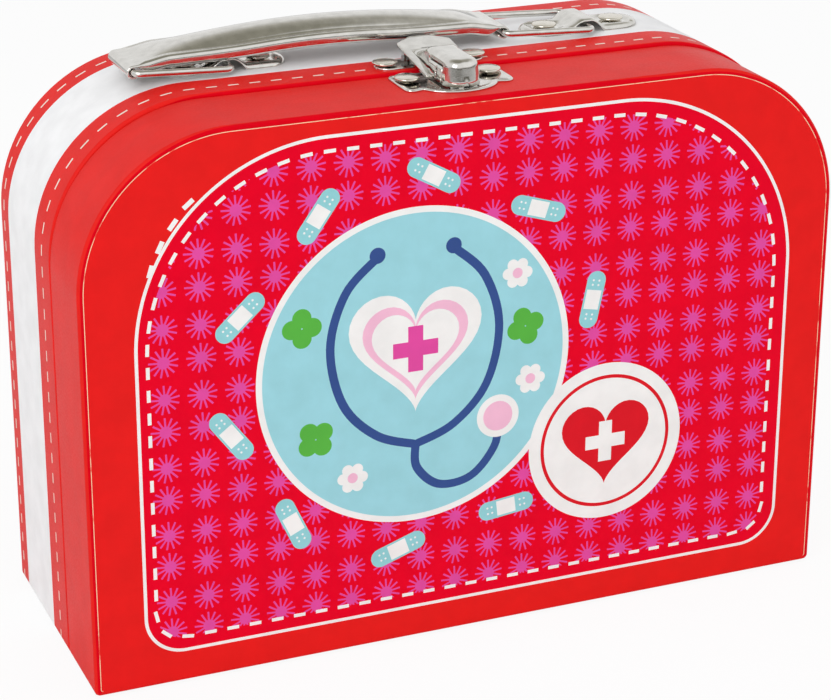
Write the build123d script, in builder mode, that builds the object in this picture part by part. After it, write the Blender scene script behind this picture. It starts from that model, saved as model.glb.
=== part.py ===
from build123d import *
import os
from math import asin, cos, degrees, radians, sin

# A child's cardboard suitcase: two papered board halves meeting at a butt seam, hinged along the
# bottom, closed by a press latch on top and carried by a steel grip on two wire rings.
# Millimetres. +X is to the right, +Y is towards the back, +Z is up.

# ---- Driving dimensions: the cardboard body ------------------------------------------------
case_width = 250.0
case_height = 178.0
case_depth = 90.0
base_depth = 59.5  # back face to seam
seam_gap = 0.3
top_radius = 48.0
bottom_radius = 1.6
lid_drop = 1.0  # the lid's top wall sits this much lower than the base's
board = 2.0  # greyboard
paper = 0.25  # wrapping and lining paper
sheet_inset = 1.5  # the face sheets stop this far short of the edge
turn_in = 8.0  # wrapping folded over onto the panels
seam_turn_in = 10.0  # wrapping folded over the seam edge to the inside
edge_round = 1.0

# ---- Driving dimensions: sheet metal, wire and rivets --------------------------------------
sheet = 0.8
wire = 2.2
wire_play = 0.25  # round the ring wire, under the humps and in the grip's curls
hole_play = 0.05  # radial, round shanks and pins
rest_gap = 0.3  # between loose pieces that nearly touch
rivet_head = 8.0
rivet_head_height = 1.4
rivet_shank = 3.0
rivet_tail = 5.0
rivet_tail_height = 1.0
washer_width = 8.0
washer_height = 0.6

# ---- Driving dimensions: hinges ------------------------------------------------------------
hinge_from_side = 50.0  # middle of the hinge to the case's side
hinge_width = 22.0
hinge_leaf = 13.5  # seam to the leaf's far edge
leaf_sheet = 0.5
barrel_radius = 1.2
hinge_pin_radius = 0.6
knuckle_gap = 0.2
relief_play = 0.3  # round the barrel, in the board
hinge_rivet_x = 7.0  # each side of the leaf's middle
hinge_rivet_y = 8.0  # from the seam
hinge_head = 6.0
hinge_head_height = 0.7
hinge_shank = 2.5
hinge_tail = 4.0
hinge_tail_height = 0.8
hinge_washer = 7.0
hinge_washer_height = 0.5

# ---- Driving dimensions: handle ------------------------------------------------------------
handle_setback = 27.0  # base's rim to the middle of the handle, clear of the lever behind it
corner_clearance = 3.9  # outer rivet to the start of the top corner's curve
bracket_length = 41.0
bracket_width = 15.5
bracket_stand = 1.4  # plate top above the paper
bracket_rivet = 12.0  # each side of the hump
ramp_clearance = 0.7  # rivet head to the foot of the ramp
hump_flat = 1.6  # half the flat on top of a hump
bend_radius = 1.5
bar_height = 2.3  # ring bar above the paper
ring_length = 31.0
ring_width = 24.2
ring_corner = 2.4
ring_lean = 3.0  # degrees that the rings rise as they lean to the left
grip_width = 20.6
grip_section = 5.8  # crown down to the middle of the rolled edges
grip_crown = 9.4  # crown above the ring bars at the middle
grip_arch = 300.0  # radius along the crown
grip_bead = 1.5
tongue_length = 8.0
tongue_lap = 3.0  # how far the flat tongue runs into the channel

# ---- Driving dimensions: latch -------------------------------------------------------------
latch_rivet_back = 6.5  # rivet row behind the seam
latch_rivet_front = 8.5  # rivet row in front of the seam
back_rivet_x = 14.7
front_rivet_x = 13.4
lug_length = 36.0
lug_width = 9.0
back_plate_width = 19.6
back_plate_reach = 5.2  # behind the rivet row
pin_radius = 0.9
pin_height = 2.4  # above the paper
ear_radius = 1.4
ear_x = 6.9  # inner face of the base plate's ears
ear_gap = 0.2
flap_width = 18.0
flap_front = 13.0  # in front of the seam
flap_back = 15.1  # behind the seam
flap_front_height = 1.6  # middle of the sheet above the paper
flap_back_height = 6.2
flap_taper = 4.0  # length of the tapered tail
flap_tail = 6.4  # width at the tail's end
hood_width = 12.0
hood_top = 8.3
hood_foot = 1.5
hood_front = 23.4  # in front of the seam
hood_round = 4.6  # front corners in plan
hood_back = 4.0  # behind the seam, where the hood rises from the flap
hood_slope = 6.5
hood_fillet = 2.6
window_back = 4.0  # open sides of the hood, in front of the seam
plate_width = 36.0
plate_back = 2.2  # in front of the seam
plate_side = 16.5
plate_shoulder = 20.4  # where the scalloped front starts
plate_notch_x = 12.2
plate_notch = 18.9
plate_nose_x = 7.0
plate_nose_side = 23.4
plate_nose = 25.6
plate_corner = 1.6
clip_width = 8.8
clip_back = 5.8
clip_front = 18.5
lip_from_seam = 20.6
slot_width = 2.0
slot_height = 4.0
slot_from_seam = 9.8

# ---- Worked-out places ---------------------------------------------------------------------
foot = leaf_sheet + hinge_head_height  # the case stands on its hinge rivets
deck = foot + case_height  # top of the base's paper
lid_deck = deck - lid_drop
skin = 2 * paper + board  # wall thickness, paper to paper
back_y = case_depth / 2
seam_y = back_y - base_depth
lid_seam_y = seam_y - seam_gap
handle_y = seam_y + handle_setback
hinge_y = (seam_y + lid_seam_y) / 2
hinge_x = case_width / 2 - hinge_from_side  # each side of the middle
bracket_x = case_width / 2 - top_radius - corner_clearance - bracket_rivet  # hump to the middle
wire_radius = wire / 2
pivot_z = deck + bar_height
curl_bore = wire_radius + wire_play
curl_radius = curl_bore + sheet
swing_x = ring_length * cos(radians(ring_lean))
swing_z = ring_length * sin(radians(ring_lean))
bar_z = pivot_z + swing_z
grip_x = -swing_x
latch_back_y = seam_y + latch_rivet_back
latch_front_y = seam_y - latch_rivet_front
pin_z = deck + pin_height

handle_points = [
    (side * bracket_x + offset, handle_y)
    for side in (-1, 1)
    for offset in (-bracket_rivet, bracket_rivet)
]
latch_base_points = [(-back_rivet_x, latch_back_y), (back_rivet_x, latch_back_y)]
latch_lid_points = [(-front_rivet_x, latch_front_y), (front_rivet_x, latch_front_y)]


def hinge_points(side_of_seam):
    """Rivet places of both hinges on one side of the seam: +1 the base's, -1 the lid's."""
    y = hinge_y + side_of_seam * hinge_rivet_y
    return [
        (side * hinge_x + offset, y)
        for side in (-1, 1)
        for offset in (-hinge_rivet_x, hinge_rivet_x)
    ]


# ---- The cardboard halves ------------------------------------------------------------------
def profile(inset, drop):
    """The case seen from the front, this far inside its outer face."""
    width = case_width - 2 * inset
    height = case_height - drop - 2 * inset
    with BuildSketch() as outline:
        with Locations((0, foot + inset + height / 2)):
            Rectangle(width, height)
        corners = outline.vertices().group_by(Axis.Y)
        fillet(corners[-1], radius=top_radius - inset)
        if bottom_radius > inset:
            fillet(corners[0], radius=bottom_radius - inset)
    return outline.sketch


class Half:
    """One half of the case, with distances measured from its closed face towards the seam."""

    def __init__(self, face, seam, drop, top_holes, bottom_holes):
        self.face = face
        self.inward = 1 if seam > face else -1
        self.depth = abs(seam - face)
        self.drop = drop
        self.top_holes = top_holes
        self.bottom_holes = bottom_holes

    def plane(self, distance):
        """Sketch plane looking at the case from the front, this far in from the closed face."""
        return Plane.XZ.offset(self.face + self.inward * distance - case_depth / 2)

    def block(self, inset, start, end):
        """The solid inside the profile from one distance to another."""
        with BuildPart() as filled:
            with BuildSketch(self.plane(start)):
                add(profile(inset, self.drop))
            extrude(amount=self.inward * (end - start))
        return filled.part

    def holes(self):
        """Everything that pierces this half's walls: rivet shanks and the hinge barrels."""
        reach = 6 * skin
        with BuildPart() as cutter:
            with Locations(*[(x, y, deck) for x, y in self.top_holes]):
                Cylinder(rivet_shank / 2 + hole_play, reach)
            with Locations(*[(x, y, foot) for x, y in self.bottom_holes]):
                Cylinder(hinge_shank / 2 + hole_play, reach)
            with Locations((-hinge_x, hinge_y, foot), (hinge_x, hinge_y, foot)):
                relief = hinge_width + 2 * relief_play
                Cylinder(barrel_radius + relief_play, relief, rotation=(0, 90, 0))
        return cutter.part


def rounded_ends(part, radius):
    """Rounds the outer rim at both ends of a wall."""
    ends = part.faces().sort_by(Axis.Y)
    rims = ends[0].outer_wire().edges() + ends[-1].outer_wire().edges()
    return part.fillet(radius, rims)


def wall_board(half):
    with BuildPart() as strip:
        add(rounded_ends(half.block(paper, 2 * paper, half.depth - paper), edge_round - paper))
        add(half.block(paper + board, 0, half.depth), mode=Mode.SUBTRACT)
        add(half.holes(), mode=Mode.SUBTRACT)
    return strip.part


def wall_paper(half, strip):
    with BuildPart() as wrap:
        add(rounded_ends(half.block(0, paper, half.depth), edge_round))
        add(strip, mode=Mode.SUBTRACT)
        add(half.block(paper + board, 2 * paper, half.depth - seam_turn_in), mode=Mode.SUBTRACT)
        add(half.block(skin, 2 * paper, half.depth), mode=Mode.SUBTRACT)
        add(half.block(turn_in, 0, 2 * paper), mode=Mode.SUBTRACT)
        add(half.holes(), mode=Mode.SUBTRACT)
    return wrap.part


def panel_board(half):
    with BuildPart() as panel:
        add(half.block(paper + board, 2 * paper, 2 * paper + board))
    return panel.part


def face_sheet(half):
    with BuildPart() as sheet_of_paper:
        add(half.block(sheet_inset, 0, paper))
        add(half.block(turn_in, paper, 2 * paper))
    return sheet_of_paper.part


def panel_lining(half):
    with BuildPart() as lining:
        add(half.block(paper + board, 2 * paper + board, 3 * paper + board))
    return lining.part


def wall_lining(half):
    start = 3 * paper + board
    end = half.depth - seam_turn_in
    with BuildPart() as lining:
        add(half.block(paper + board, start, end))
        add(half.block(skin, start, end), mode=Mode.SUBTRACT)
        add(half.holes(), mode=Mode.SUBTRACT)
    return lining.part


# ---- Fasteners -----------------------------------------------------------------------------
def rivet(head, head_height, shank, length, tail, tail_height):
    """A domed rivet standing on z = 0, with its shank going down and its tail set below."""
    with BuildPart() as body:
        with BuildSketch(Plane.XZ):
            with BuildLine():
                top = (0, head_height)
                rim = (head / 2, 0)
                shoulder = (head * 0.36, head_height * 0.76)
                ThreePointArc(top, shoulder, rim)
                Polyline(
                    rim,
                    (shank / 2, 0),
                    (shank / 2, -length),
                    (tail / 2, -length),
                    (shank / 2, -length - tail_height),
                    (0, -length - tail_height),
                    top,
                )
            make_face()
        revolve(axis=Axis.Z)
    return body.part


def rivets(points, z, one, rotation=(0, 0, 0)):
    with BuildPart() as row:
        with Locations(*[(x, y, z) for x, y in points]):
            add(one, rotation=rotation)
    return row.part


def washers(points, z, width, shank, height):
    with BuildPart() as row:
        with BuildSketch(Plane.XY.offset(z)):
            with Locations(*points):
                Circle(width / 2)
                Circle(shank / 2 + hole_play, mode=Mode.SUBTRACT)
        extrude(amount=height)
    return row.part


# ---- Hinges --------------------------------------------------------------------------------
knuckle = (hinge_width - 2 * knuckle_gap) / 3


def hinge_leaf_part(x, side_of_seam):
    """A leaf lying on the bottom, with its knuckles: two outer ones on the base, one on the lid."""
    if side_of_seam > 0:
        offsets = [-knuckle - knuckle_gap, knuckle + knuckle_gap]
    else:
        offsets = [0]
    inner = barrel_radius + relief_play
    leaf_y = hinge_y + side_of_seam * (inner + hinge_leaf) / 2
    axis_line = Location((x, hinge_y, foot))
    with BuildPart() as leaf:
        with BuildSketch(Plane.XY.offset(foot - leaf_sheet)):
            with Locations((x, leaf_y)):
                RectangleRounded(hinge_width, hinge_leaf - inner, 2 * leaf_sheet)
            with Locations(*[(x + offset, hinge_y + side_of_seam * inner / 2) for offset in offsets]):
                Rectangle(knuckle, inner + 2 * leaf_sheet)
        extrude(amount=leaf_sheet)
        with Locations(*[(x + offset, hinge_y, foot) for offset in offsets]):
            Cylinder(barrel_radius, knuckle, rotation=(0, 90, 0))
        with Locations(axis_line):
            Cylinder(hinge_pin_radius + hole_play, 2 * hinge_width, rotation=(0, 90, 0), mode=Mode.SUBTRACT)
        with Locations(*[(px, py, foot) for px, py in hinge_points(side_of_seam)]):
            Cylinder(hinge_shank / 2 + hole_play, 4 * leaf_sheet, mode=Mode.SUBTRACT)
    return leaf.part


def hinge_pin_part(x):
    with BuildPart() as pin:
        with Locations((x, hinge_y, foot)):
            Cylinder(hinge_pin_radius, hinge_width, rotation=(0, 90, 0))
    return pin.part


# ---- Handle --------------------------------------------------------------------------------
def bracket(x):
    """A stamped plate on a down-turned rim, humped in the middle over the ring's bar."""
    plate_z = deck + bracket_stand - sheet / 2
    hump_z = pivot_z + curl_bore + sheet / 2
    half_length = bracket_length / 2
    ramp_length = bracket_rivet - rivet_head / 2 - ramp_clearance
    with BuildPart() as plate:
        with BuildSketch(Plane.XZ.offset(-handle_y)):
            with BuildLine():
                FilletPolyline(
                    (x - half_length, plate_z),
                    (x - ramp_length, plate_z),
                    (x - hump_flat, hump_z),
                    (x + hump_flat, hump_z),
                    (x + ramp_length, plate_z),
                    (x + half_length, plate_z),
                    radius=bend_radius,
                )
            trace(line_width=sheet)
        extrude(amount=bracket_width / 2, both=True)
        with BuildSketch(Plane.XY.offset(deck)):
            with Locations((x, handle_y)):
                SlotOverall(bracket_length, bracket_width)
        extrude(amount=hump_z + sheet - deck, mode=Mode.INTERSECT)
        with BuildSketch(Plane.XY.offset(deck)):
            with Locations((x, handle_y)):
                SlotOverall(bracket_length, bracket_width)
                SlotOverall(bracket_length - 2 * sheet, bracket_width - 2 * sheet, mode=Mode.SUBTRACT)
                Rectangle(2 * ramp_length, bracket_width, mode=Mode.SUBTRACT)
        extrude(amount=bracket_stand)
        with Locations(*[(px, py, deck) for px, py in handle_points]):
            Cylinder(rivet_shank / 2 + hole_play, 4 * bracket_stand, mode=Mode.SUBTRACT)
    return plate.part


def ring(x):
    """A rectangular wire ring, from its bar under the hump to its bar in the grip."""
    plane = Plane(
        origin=(x, handle_y, pivot_z),
        x_dir=(-cos(radians(ring_lean)), 0, sin(radians(ring_lean))),
        z_dir=(sin(radians(ring_lean)), 0, cos(radians(ring_lean))),
    )
    half_width = ring_width / 2
    with BuildPart() as loop:
        with BuildLine(plane) as path:
            FilletPolyline(
                (0, -half_width),
                (0, half_width),
                (ring_length, half_width),
                (ring_length, -half_width),
                radius=ring_corner,
                close=True,
            )
        with BuildSketch(Plane(origin=path.line @ 0, z_dir=path.line % 0)):
            Circle(wire_radius)
        sweep()
    return loop.part


def grip():
    """The arched steel grip: a domed channel with rolled edges, curled round a bar at each end."""
    crown_z = bar_z + grip_crown
    arch_axis = Axis((grip_x, handle_y, crown_z - grip_arch), (0, 1, 0))
    channel_half = bracket_x - tongue_length
    turn = 2 * degrees(asin(channel_half / grip_arch))
    edge_y = grip_width / 2 - grip_bead
    tongue_z = bar_z + curl_bore + sheet / 2
    tongue_end_z = crown_z - channel_half**2 / (2 * grip_arch) - grip_section / 2
    with BuildPart() as channel:
        with BuildSketch(Plane((grip_x, handle_y, crown_z), x_dir=(0, 1, 0), z_dir=(1, 0, 0))) as section:
            with BuildLine():
                ThreePointArc((-edge_y, -grip_section), (0, 0), (edge_y, -grip_section))
                Line((edge_y, -grip_section), (edge_y - sheet, -grip_section))
                ThreePointArc((edge_y - sheet, -grip_section), (0, -sheet), (sheet - edge_y, -grip_section))
                Line((sheet - edge_y, -grip_section), (-edge_y, -grip_section))
            make_face()
            with Locations((-edge_y, -grip_section), (edge_y, -grip_section)):
                Circle(grip_bead)
        starting = section.sketch.rotate(arch_axis, -turn / 2)
        revolve(starting, axis=arch_axis, revolution_arc=turn, mode=Mode.ADD)
        for side in (-1, 1):
            end_x = grip_x + side * bracket_x
            with BuildSketch(Plane.XZ.offset(-handle_y)):
                with BuildLine():
                    Line((end_x, tongue_z), (end_x - side * (tongue_length + tongue_lap), tongue_end_z))
                trace(line_width=sheet)
                with Locations((end_x, bar_z)):
                    Circle(curl_radius)
            extrude(amount=grip_width / 2, both=True)
            with BuildSketch(Plane.XZ.offset(-handle_y)):
                with Locations((end_x, bar_z)):
                    Circle(curl_bore)
                with Locations((end_x - side * curl_radius, bar_z)):
                    Rectangle(2 * curl_radius, curl_bore)
            extrude(amount=grip_width, both=True, mode=Mode.SUBTRACT)
    return channel.part


# ---- Latch ---------------------------------------------------------------------------------
def latch_base_plate_part():
    """The plate on the base, with two ears for the lever's pin."""
    body_y = latch_back_y + (back_plate_reach - lug_width / 2) / 2
    with BuildPart() as plate:
        with BuildSketch(Plane.XY.offset(deck)):
            with Locations((0, latch_back_y)):
                SlotOverall(lug_length, lug_width)
            with Locations((0, body_y)):
                Rectangle(back_plate_width, back_plate_reach + lug_width / 2)
            with Locations(*latch_base_points):
                Circle(rivet_shank / 2 + hole_play, mode=Mode.SUBTRACT)
        extrude(amount=sheet)
        for side in (-1, 1):
            with BuildSketch(Plane.YZ.offset(side * ear_x)):
                with Locations((latch_back_y, pin_z)):
                    Circle(ear_radius)
                with Locations((latch_back_y, (deck + pin_z) / 2)):
                    Rectangle(2 * ear_radius, pin_z - deck)
                with Locations((latch_back_y, pin_z)):
                    Circle(pin_radius + hole_play / 2, mode=Mode.SUBTRACT)
            extrude(amount=side * sheet)
    return plate.part


def latch_pin_part():
    with BuildPart() as pin:
        with Locations((0, latch_back_y, pin_z)):
            Cylinder(pin_radius, flap_width, rotation=(0, 90, 0))
    return pin.part


def hood_block(inset):
    """The lever's raised hood as a filled block, this far inside its outer face."""
    half_width = hood_width / 2 - inset
    front_y = seam_y - hood_front + inset
    back_y_of_hood = seam_y + hood_back - inset
    low = hood_foot if inset == 0 else 0
    with BuildPart() as block:
        with BuildSketch(Plane.XY.offset(deck + low)) as plan:
            with Locations((0, (front_y + back_y_of_hood) / 2)):
                Rectangle(2 * half_width, back_y_of_hood - front_y)
            fillet(plan.vertices().group_by(Axis.Y)[0], radius=hood_round - inset)
        extrude(amount=hood_top - inset - low)
        top_edges = block.faces().sort_by(Axis.Z)[-1].edges().sort_by(Axis.Y)[:-1]
        fillet(top_edges, radius=hood_fillet - inset)
        rise_z = deck + hood_top - inset
        flap_z = flap_height(back_y_of_hood)
        with BuildSketch(Plane.YZ):
            with BuildLine():
                Polyline(
                    (back_y_of_hood, flap_z),
                    (back_y_of_hood - hood_slope, rise_z),
                    (back_y_of_hood, rise_z),
                    close=True,
                )
            make_face()
        extrude(amount=hood_width, both=True, mode=Mode.SUBTRACT)
    return block.part


def flap_height(y):
    """Height of the middle of the flap's sheet at this y."""
    share = (y - (seam_y - flap_front)) / (flap_front + flap_back)
    return deck + flap_front_height + share * (flap_back_height - flap_front_height)


def latch_lever_part():
    """The press lever: a tapered thumb flap, a raised hood over the clip and ears on the pin."""
    front = seam_y - flap_front
    back = seam_y + flap_back
    taper = back - flap_taper
    with BuildPart() as lever:
        with BuildSketch(Plane.YZ):
            with BuildLine():
                Line((front, flap_height(front)), (back, flap_height(back)))
            trace(line_width=sheet)
        extrude(amount=flap_width / 2, both=True)
        with BuildSketch(Plane.XY.offset(deck)) as plan:
            with BuildLine():
                Polyline(
                    (-flap_width / 2, front - sheet),
                    (-flap_width / 2, taper),
                    (-flap_tail / 2, back + sheet),
                    (flap_tail / 2, back + sheet),
                    (flap_width / 2, taper),
                    (flap_width / 2, front - sheet),
                    close=True,
                )
            make_face()
            fillet(plan.vertices().group_by(Axis.Y)[1:], radius=2 * sheet)
        extrude(amount=2 * hood_top, mode=Mode.INTERSECT)
        add(hood_block(0))
        for side in (-1, 1):
            ear = side * (ear_x + sheet + ear_gap)
            with BuildSketch(Plane.YZ.offset(ear)):
                with Locations((latch_back_y, pin_z)):
                    Circle(ear_radius)
                ear_top = flap_height(latch_back_y)
                with Locations((latch_back_y, (pin_z + ear_top) / 2)):
                    Rectangle(2 * ear_radius, ear_top - pin_z)
            extrude(amount=side * sheet)
        add(hood_block(sheet), mode=Mode.SUBTRACT)
        with Locations((0, latch_back_y, pin_z)):
            Cylinder(pin_radius + hole_play, 2 * flap_width, rotation=(0, 90, 0), mode=Mode.SUBTRACT)
        window_front = seam_y - hood_front + hood_round
        window = seam_y - window_back - window_front
        with Locations((0, window_front + window / 2, deck)):
            Box(
                hood_width,
                window,
                hood_top - sheet,
                align=(Align.CENTER, Align.CENTER, Align.MIN),
                mode=Mode.SUBTRACT,
            )
    return lever.part


def clip_part():
    """The folded spring clip that hangs inside the hood and snaps behind the lid's lip."""
    top_z = deck + hood_top - sheet
    back = seam_y - clip_back
    length = clip_front - clip_back
    with BuildPart() as clip:
        with Locations((0, back - length / 2, top_z)):
            align = (Align.CENTER, Align.CENTER, Align.MAX)
            Box(clip_width, length, hood_top - sheet - hood_foot, align=align)
        with Locations((0, back - length / 2, top_z - sheet)):
            Box(clip_width - 2 * sheet, 2 * length, hood_top, align=align, mode=Mode.SUBTRACT)
        with Locations((0, seam_y - slot_from_seam, deck + (hood_top + hood_foot) / 2)):
            Box(2 * clip_width, slot_width, slot_height, mode=Mode.SUBTRACT)
    return clip.part


def latch_lid_plate_part():
    """The lid's scalloped plate, with the turned-up lip that the lever's clip snaps over."""
    half_width = plate_width / 2
    rear = seam_y - plate_back
    side = (half_width, seam_y - plate_side)
    side_low = (half_width - 0.6, seam_y - plate_shoulder)
    notch = (plate_notch_x, seam_y - plate_notch)
    nose_side = (plate_nose_x, seam_y - plate_nose_side)
    nose = (0, seam_y - plate_nose)
    with BuildPart() as plate:
        with BuildSketch(Plane.XY.offset(lid_deck)) as outline:
            with BuildLine():
                Polyline((0, rear), (half_width, rear), side, side_low, notch)
                ThreePointArc(notch, nose_side, nose)
                mirror(about=Plane.YZ)
            make_face()
            shoulders = outline.vertices().filter_by(lambda v: abs(abs(v.X) - side_low[0]) < 0.1)
            fillet(shoulders, radius=plate_corner)
            with Locations(*latch_lid_points):
                Circle(rivet_shank / 2 + hole_play, mode=Mode.SUBTRACT)
        extrude(amount=sheet)
        with Locations((0, seam_y - lip_from_seam, lid_deck)):
            lip_height = deck + hood_foot - rest_gap - lid_deck
            Box(clip_width, sheet, lip_height, align=(Align.CENTER, Align.CENTER, Align.MIN))
    return plate.part


# ---- Build and write every piece -----------------------------------------------------------
base = Half(0, base_depth, 0, handle_points + latch_base_points, hinge_points(1))
lid = Half(case_depth, base_depth + seam_gap, lid_drop, latch_lid_points, hinge_points(-1))
pieces = {}
for name, half, face in (("base", base, "back"), ("lid", lid, "front")):
    strip = wall_board(half)
    pieces[f"{name}_wall_board"] = strip
    pieces[f"{name}_wall_paper"] = wall_paper(half, strip)
    pieces[f"{name}_wall_lining"] = wall_lining(half)
    pieces[f"{name}_{face}_board"] = panel_board(half)
    pieces[f"{name}_{face}_sheet"] = face_sheet(half)
    pieces[f"{name}_{face}_lining"] = panel_lining(half)

for side, x in (("left", -1), ("right", 1)):
    pieces[f"hinge_base_leaf_{side}"] = hinge_leaf_part(x * hinge_x, 1)
    pieces[f"hinge_lid_leaf_{side}"] = hinge_leaf_part(x * hinge_x, -1)
    pieces[f"hinge_pin_{side}"] = hinge_pin_part(x * hinge_x)
    pieces[f"handle_bracket_{side}"] = bracket(x * bracket_x)
    pieces[f"handle_ring_{side}"] = ring(x * bracket_x)
pieces["handle_grip"] = grip()

pieces["latch_base_plate"] = latch_base_plate_part()
pieces["latch_pin"] = latch_pin_part()
pieces["latch_lever"] = latch_lever_part()
pieces["latch_clip"] = clip_part()
pieces["latch_lid_plate"] = latch_lid_plate_part()

# Each rivet clamps its metal plate, the wall and a washer inside.
for name, points, top, wall_top in (
    ("handle", handle_points, deck + bracket_stand, deck),
    ("latch_base", latch_base_points, deck + sheet, deck),
    ("latch_lid", latch_lid_points, lid_deck + sheet, lid_deck),
):
    washer_z = wall_top - skin - washer_height
    one = rivet(
        rivet_head, rivet_head_height, rivet_shank, top - washer_z, rivet_tail, rivet_tail_height
    )
    pieces[f"{name}_rivets"] = rivets(points, top, one)
    pieces[f"{name}_washers"] = washers(points, washer_z, washer_width, rivet_shank, washer_height)

for name, side_of_seam in (("hinge_base", 1), ("hinge_lid", -1)):
    points = hinge_points(side_of_seam)
    grip_length = leaf_sheet + skin + hinge_washer_height
    one = rivet(
        hinge_head, hinge_head_height, hinge_shank, grip_length, hinge_tail, hinge_tail_height
    )
    pieces[f"{name}_rivets"] = rivets(points, foot - leaf_sheet, one, rotation=(180, 0, 0))
    pieces[f"{name}_washers"] = washers(
        points, foot + skin, hinge_washer, hinge_shank, hinge_washer_height
    )

os.makedirs("parts", exist_ok=True)
for name, piece in pieces.items():
    piece.label = name
    export_step(piece, f"parts/{name}.step")
print(len(pieces), "pieces written")
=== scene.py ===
# %% [markdown]
# # A child's cardboard doctor case
#
# The real case is two halves of bent grey board, wrapped in printed and laminated paper, closed by a
# nickel plated press latch and carried by a steel grip that folds flat. The CAD model gives every piece its
# size and place. This lesson dresses it: printed sheets cut by a Delaunay triangulation, paper that is drawn
# flat and then wrapped round the outline, and stamped steel made as swept and raised surfaces.

# %% Load the frame
import math
from itertools import product

import bmesh
import bpy
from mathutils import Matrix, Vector
from mathutils.geometry import delaunay_2d_cdt


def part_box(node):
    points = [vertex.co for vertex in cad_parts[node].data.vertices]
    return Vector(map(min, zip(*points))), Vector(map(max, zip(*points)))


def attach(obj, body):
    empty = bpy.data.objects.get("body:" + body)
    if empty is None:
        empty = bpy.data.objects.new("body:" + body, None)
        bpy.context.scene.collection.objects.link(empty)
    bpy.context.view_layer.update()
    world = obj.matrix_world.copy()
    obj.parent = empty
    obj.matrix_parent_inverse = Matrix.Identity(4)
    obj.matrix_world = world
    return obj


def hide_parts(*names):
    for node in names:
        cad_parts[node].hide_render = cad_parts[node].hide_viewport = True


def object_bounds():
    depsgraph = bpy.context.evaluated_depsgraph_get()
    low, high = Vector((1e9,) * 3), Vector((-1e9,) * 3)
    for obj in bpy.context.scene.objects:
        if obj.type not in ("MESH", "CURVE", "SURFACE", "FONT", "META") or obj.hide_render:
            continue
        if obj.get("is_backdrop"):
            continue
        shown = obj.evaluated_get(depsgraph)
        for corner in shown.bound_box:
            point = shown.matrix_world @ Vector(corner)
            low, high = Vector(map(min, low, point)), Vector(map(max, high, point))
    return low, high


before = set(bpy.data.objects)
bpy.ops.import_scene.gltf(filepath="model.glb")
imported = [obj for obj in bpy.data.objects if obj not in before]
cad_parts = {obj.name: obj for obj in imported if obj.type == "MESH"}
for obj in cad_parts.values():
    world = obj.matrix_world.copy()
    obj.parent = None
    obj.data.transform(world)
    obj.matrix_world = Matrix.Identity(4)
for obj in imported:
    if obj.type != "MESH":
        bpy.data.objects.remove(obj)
cad_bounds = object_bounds()
MM = 0.001

# %% [markdown]
# Every place below is worked out in millimetres from the boxes of the CAD nodes, so the dressing follows
# the construction. A few sizes that a box can't give, such as the paper's thickness, are named here.

# %% Measure the construction
def box_mm(node):
    """Lowest and highest corner of a CAD node, in millimetres."""
    low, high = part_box(node)
    return Vector(low) / MM, Vector(high) / MM


base_low, base_high = box_mm("base_wall_paper")
lid_high = box_mm("lid_wall_paper")[1]
front_y = box_mm("lid_front_sheet")[0].y
back_y = box_mm("base_back_sheet")[1].y
case_bottom = base_low.z
deck = base_high.z
lid_deck = lid_high.z
seam_y = base_low.y
lid_seam_y = lid_high.y
half_width = base_high.x

PAPER = 0.2  # wrapping paper
PAPER_STEP = 0.25  # the sheet on a face stands this far above the wrapping
WALL = 2.5  # board with paper on both sides
CORNER = 48.0  # top corners of the case
FOOT_CORNER = 1.6  # bottom corners
SHEET_INSET = 1.5  # the face sheets stop short of the edge
EDGE_ROUND = 1.0
SHEET_METAL = 0.8
print(f"case: {2 * half_width:.0f} wide, {deck - case_bottom:.0f} tall, {back_y - front_y:.0f} deep")

# %% [markdown]
# Colours are written as sRGB hex values, as a colour picker gives them, and one function turns them to the
# linear numbers that the shaders use. One function adds a node with its settings and its links, and every
# node tree below is built with it.

# %% Helpers for node trees
MOTTLED = (0.35, 0.65)  # the part of the noise that holds nearly all its values


def linear(hex_colour):
    """An sRGB colour such as "#E8382D" as linear red, green, blue and alpha."""
    values = [int(hex_colour[i : i + 2], 16) / 255 for i in (1, 3, 5)]
    return [v / 12.92 if v <= 0.04045 else ((v + 0.055) / 1.055) ** 2.4 for v in values] + [1.0]


def add_node(tree, kind, inputs=(), **settings):
    """Adds a node. Each input is called by its number or its name.

    It is a value, an output socket that feeds the node, or another node whose first output does.
    """
    node = tree.nodes.new(kind)
    for name, value in settings.items():
        setattr(node, name, value)
    for name, value in dict(inputs).items():
        if isinstance(value, bpy.types.Node):
            value = value.outputs[0]
        if isinstance(value, bpy.types.NodeSocket):
            tree.links.new(value, node.inputs[name])
        else:
            node.inputs[name].default_value = value
    return node


def blank_tree(owner):
    """The emptied node tree of a material or a world."""
    owner.use_nodes = True
    owner.node_tree.nodes.clear()
    return owner.node_tree


def new_material(name, sockets):
    """A material with one Principled shader, and its tree and shader."""
    material = bpy.data.materials.new(name)
    tree = blank_tree(material)
    shader = add_node(tree, "ShaderNodeBsdfPrincipled", sockets)
    add_node(tree, "ShaderNodeOutputMaterial", {"Surface": shader})
    return material, tree, shader


def grain(tree, size_mm, detail=2.0, stretch=(1, 1, 1)):
    """Noise on Object coordinates with features of this size; stretch draws it out along an axis."""
    place = add_node(tree, "ShaderNodeTexCoord").outputs["Object"]
    if stretch != (1, 1, 1):
        place = add_node(tree, "ShaderNodeMapping", {"Vector": place, "Scale": stretch})
    sizes = {"Vector": place, "Scale": 1 / (size_mm * MM), "Detail": detail}
    return add_node(tree, "ShaderNodeTexNoise", sizes).outputs["Fac"]


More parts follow.
